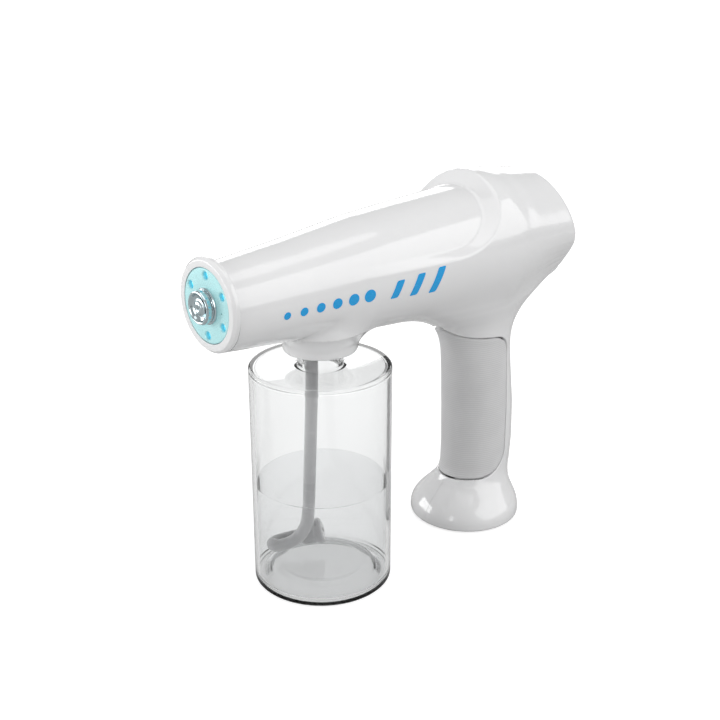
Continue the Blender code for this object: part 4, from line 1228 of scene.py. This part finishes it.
turned("light_key_cap", [(0, 1.5), (1.2, 1.6, 0.6), (2.1, 1.8, 0.3), (2.65, 1.3, 0.4), (2.65, -2.9), (3.6, -2.9), (3.6, -3.8), (0, -3.8)],
       M["button_grey"], "light_key", ("light_button",), KEY2, 64, 0.2)
sock = None
bv, bf = cushion_block(rounded_rect(0, 17.3, 9.6, 3.8, 1.8), -7.0, -0.2, 0.25)
sock = make("charge_socket_body", bv, bf, M["steel"], "root", ("charge_socket",), REAR, 40)
apply_boolean(sock, tool(*prism(rounded_rect(0, 17.3, 8.4, 2.7, 1.3), 12, -5.6), REAR))

# ============================================================ foot, fasteners
turned("foot_pad_disc", [(0, 1.4), (24.2, 1.4, 0.2), (25.0, 0.9, 0.3), (25.0, 0.35, 0.3), (24.3, 0.0, 0.3), (21.5, 0.0, 0.1), (21.2, 0.45, 0.1), (20.2, 0.45, 0.1), (19.9, 0.0, 0.1), (0, 0.0)],
       M["dark_rubber"], "root", ("foot_pad",), at(0, 97.8, 0), 128, 0.2)
for index, (sy, sz, reach) in enumerate(SCREWS):
    head = turned(f"cross_screw_{index + 1}", [(0, 2.0), (1.6, 1.95, 0.4), (2.65, 1.1, 0.4), (2.65, 0.0, 0.1), (1.45, 0.0, 0), (1.45, -(reach - 3.2) - 6.6, 0.5), (0, -(reach - 3.2) - 8.0)],
                  M["steel"], "root", (f"housing_screw_{index + 1}",), at(-(reach - 3.2), sy, sz, SIDE_IN), 48, 0.2)
    for w, h in ((2.8, 0.6), (0.6, 2.8)):
        apply_boolean(head, tool(*prism(rounded_rect(0, 0, w, h, 0.15, 2), 4, 1.0), at(-(reach - 3.2), sy, sz, SIDE_IN)))

# ==================================================================== stage
def camera_only(tree, value_seen, value_lit):
    """A value that differs between what is seen, directly or through glass, and what lights the object."""
    path = tree.nodes.new("ShaderNodeLightPath")
    seen = tree.nodes.new("ShaderNodeMath")
    seen.operation = "MAXIMUM"
    tree.links.new(path.outputs["Is Camera Ray"], seen.inputs[0])
    tree.links.new(path.outputs["Is Transmission Ray"], seen.inputs[1])
    mix = tree.nodes.new("ShaderNodeMapRange")
    mix.inputs["To Min"].default_value = value_lit
    mix.inputs["To Max"].default_value = value_seen
    tree.links.new(seen.outputs[0], mix.inputs["Value"])
    return mix.outputs["Result"]


mesh = bpy.data.meshes.new("floor")
mesh.from_pydata([(-6, -6, 0), (6, -6, 0), (6, 6, 0), (-6, 6, 0)], [], [(0, 1, 2, 3)])
floor = bpy.data.objects.new("floor", mesh)
floor.location = (0, 0, -0.0004)
bpy.context.scene.collection.objects.link(floor)
g = Graph("pale_floor")
pale = g.colours(g.noise(6, 3), (0.46, 0.46, 0.46), (0.47, 0.47, 0.47))
dull = g.colours(g.noise(6, 3), (0.50, 0.50, 0.50), (0.52, 0.52, 0.52))
choose = g.add("ShaderNodeMix", data_type="RGBA")
g.link(camera_only(g.tree, 1.0, 0.0), choose.inputs[0])
g.link(dull, choose.inputs[6])
g.link(pale, choose.inputs[7])
g.link(choose.outputs[2], g.bsdf.inputs["Base Color"])
g.set(Roughness=0.7, Specular_IOR_Level=0.1)
g.bsdf.inputs["Emission Color"].default_value = (1, 1, 1, 1)
far = g.add("ShaderNodeVectorMath", operation="LENGTH")
g.link(g.coord, far.inputs[0])
glow = g.span(far.outputs["Value"], 0.76, 1.10, 0.35, 1.4)
g.link(g.math("MULTIPLY", glow, camera_only(g.tree, 1.0, 0.0)), g.bsdf.inputs["Emission Strength"])
mesh.materials.append(g.mat)

world = bpy.data.worlds.new("studio")
bpy.context.scene.world = world
world.use_nodes = True
world.node_tree.nodes["Background"].inputs[0].default_value = (1, 1, 1, 1)
world.node_tree.links.new(camera_only(world.node_tree, 1.0, 0.45), world.node_tree.nodes["Background"].inputs[1])


def softbox(name, place_, target, size, power, colour=(1, 1, 1)):
    data = bpy.data.lights.new(name, "AREA")
    data.shape = "RECTANGLE"
    data.size, data.size_y = size
    data.energy = power
    data.color = colour
    obj = bpy.data.objects.new(name, data)
    obj.location = place_
    obj.rotation_euler = (Vector(target) - Vector(place_)).to_track_quat("-Z", "Y").to_euler()
    obj.visible_camera = False
    obj.visible_transmission = False
    bpy.context.scene.collection.objects.link(obj)
    return obj


MID = (0, -0.04, 0.10)
softbox("top_box", (0.05, -0.10, 1.25), MID, (1.1, 1.0), 3.8)
softbox("side_box", (0.90, 0.46, 0.66), (0, -0.04, 0.14), (1.5, 0.92), 6.4)
softbox("front_box", (0.15, -1.15, 0.32), MID, (0.7, 0.5), 3.0)
softbox("left_box", (-0.80, -0.74, 0.22), (0, 0, 0.05), (0.8, 0.4), 4.2)
softbox("back_box", (-0.86, 0.66, 0.40), MID, (0.9, 0.5), 2.6)

camera_data = bpy.data.cameras.new("camera")
camera = bpy.data.objects.new("camera", camera_data)
bpy.context.scene.collection.objects.link(camera)
AZ, EL, DIST = math.radians(49.393), math.radians(21.578), 0.550664
BACK = Vector((math.sin(AZ) * math.cos(EL), -math.cos(AZ) * math.cos(EL), math.sin(EL)))
camera.location = Vector((0.000436, 0.023539 + BOTTLE_Y * MM, 0.104619)) + BACK * DIST
camera.rotation_euler = (-BACK).to_track_quat("-Z", "Y").to_euler()
camera_data.sensor_width = 36.0
camera_data.lens = 1170.943 / 720 * 36.0
camera_data.clip_start = 0.01
camera_data.clip_end = 40
bpy.context.scene.camera = camera
bpy.context.scene.view_settings.view_transform = "Standard"
bpy.context.scene.view_settings.look = "None"
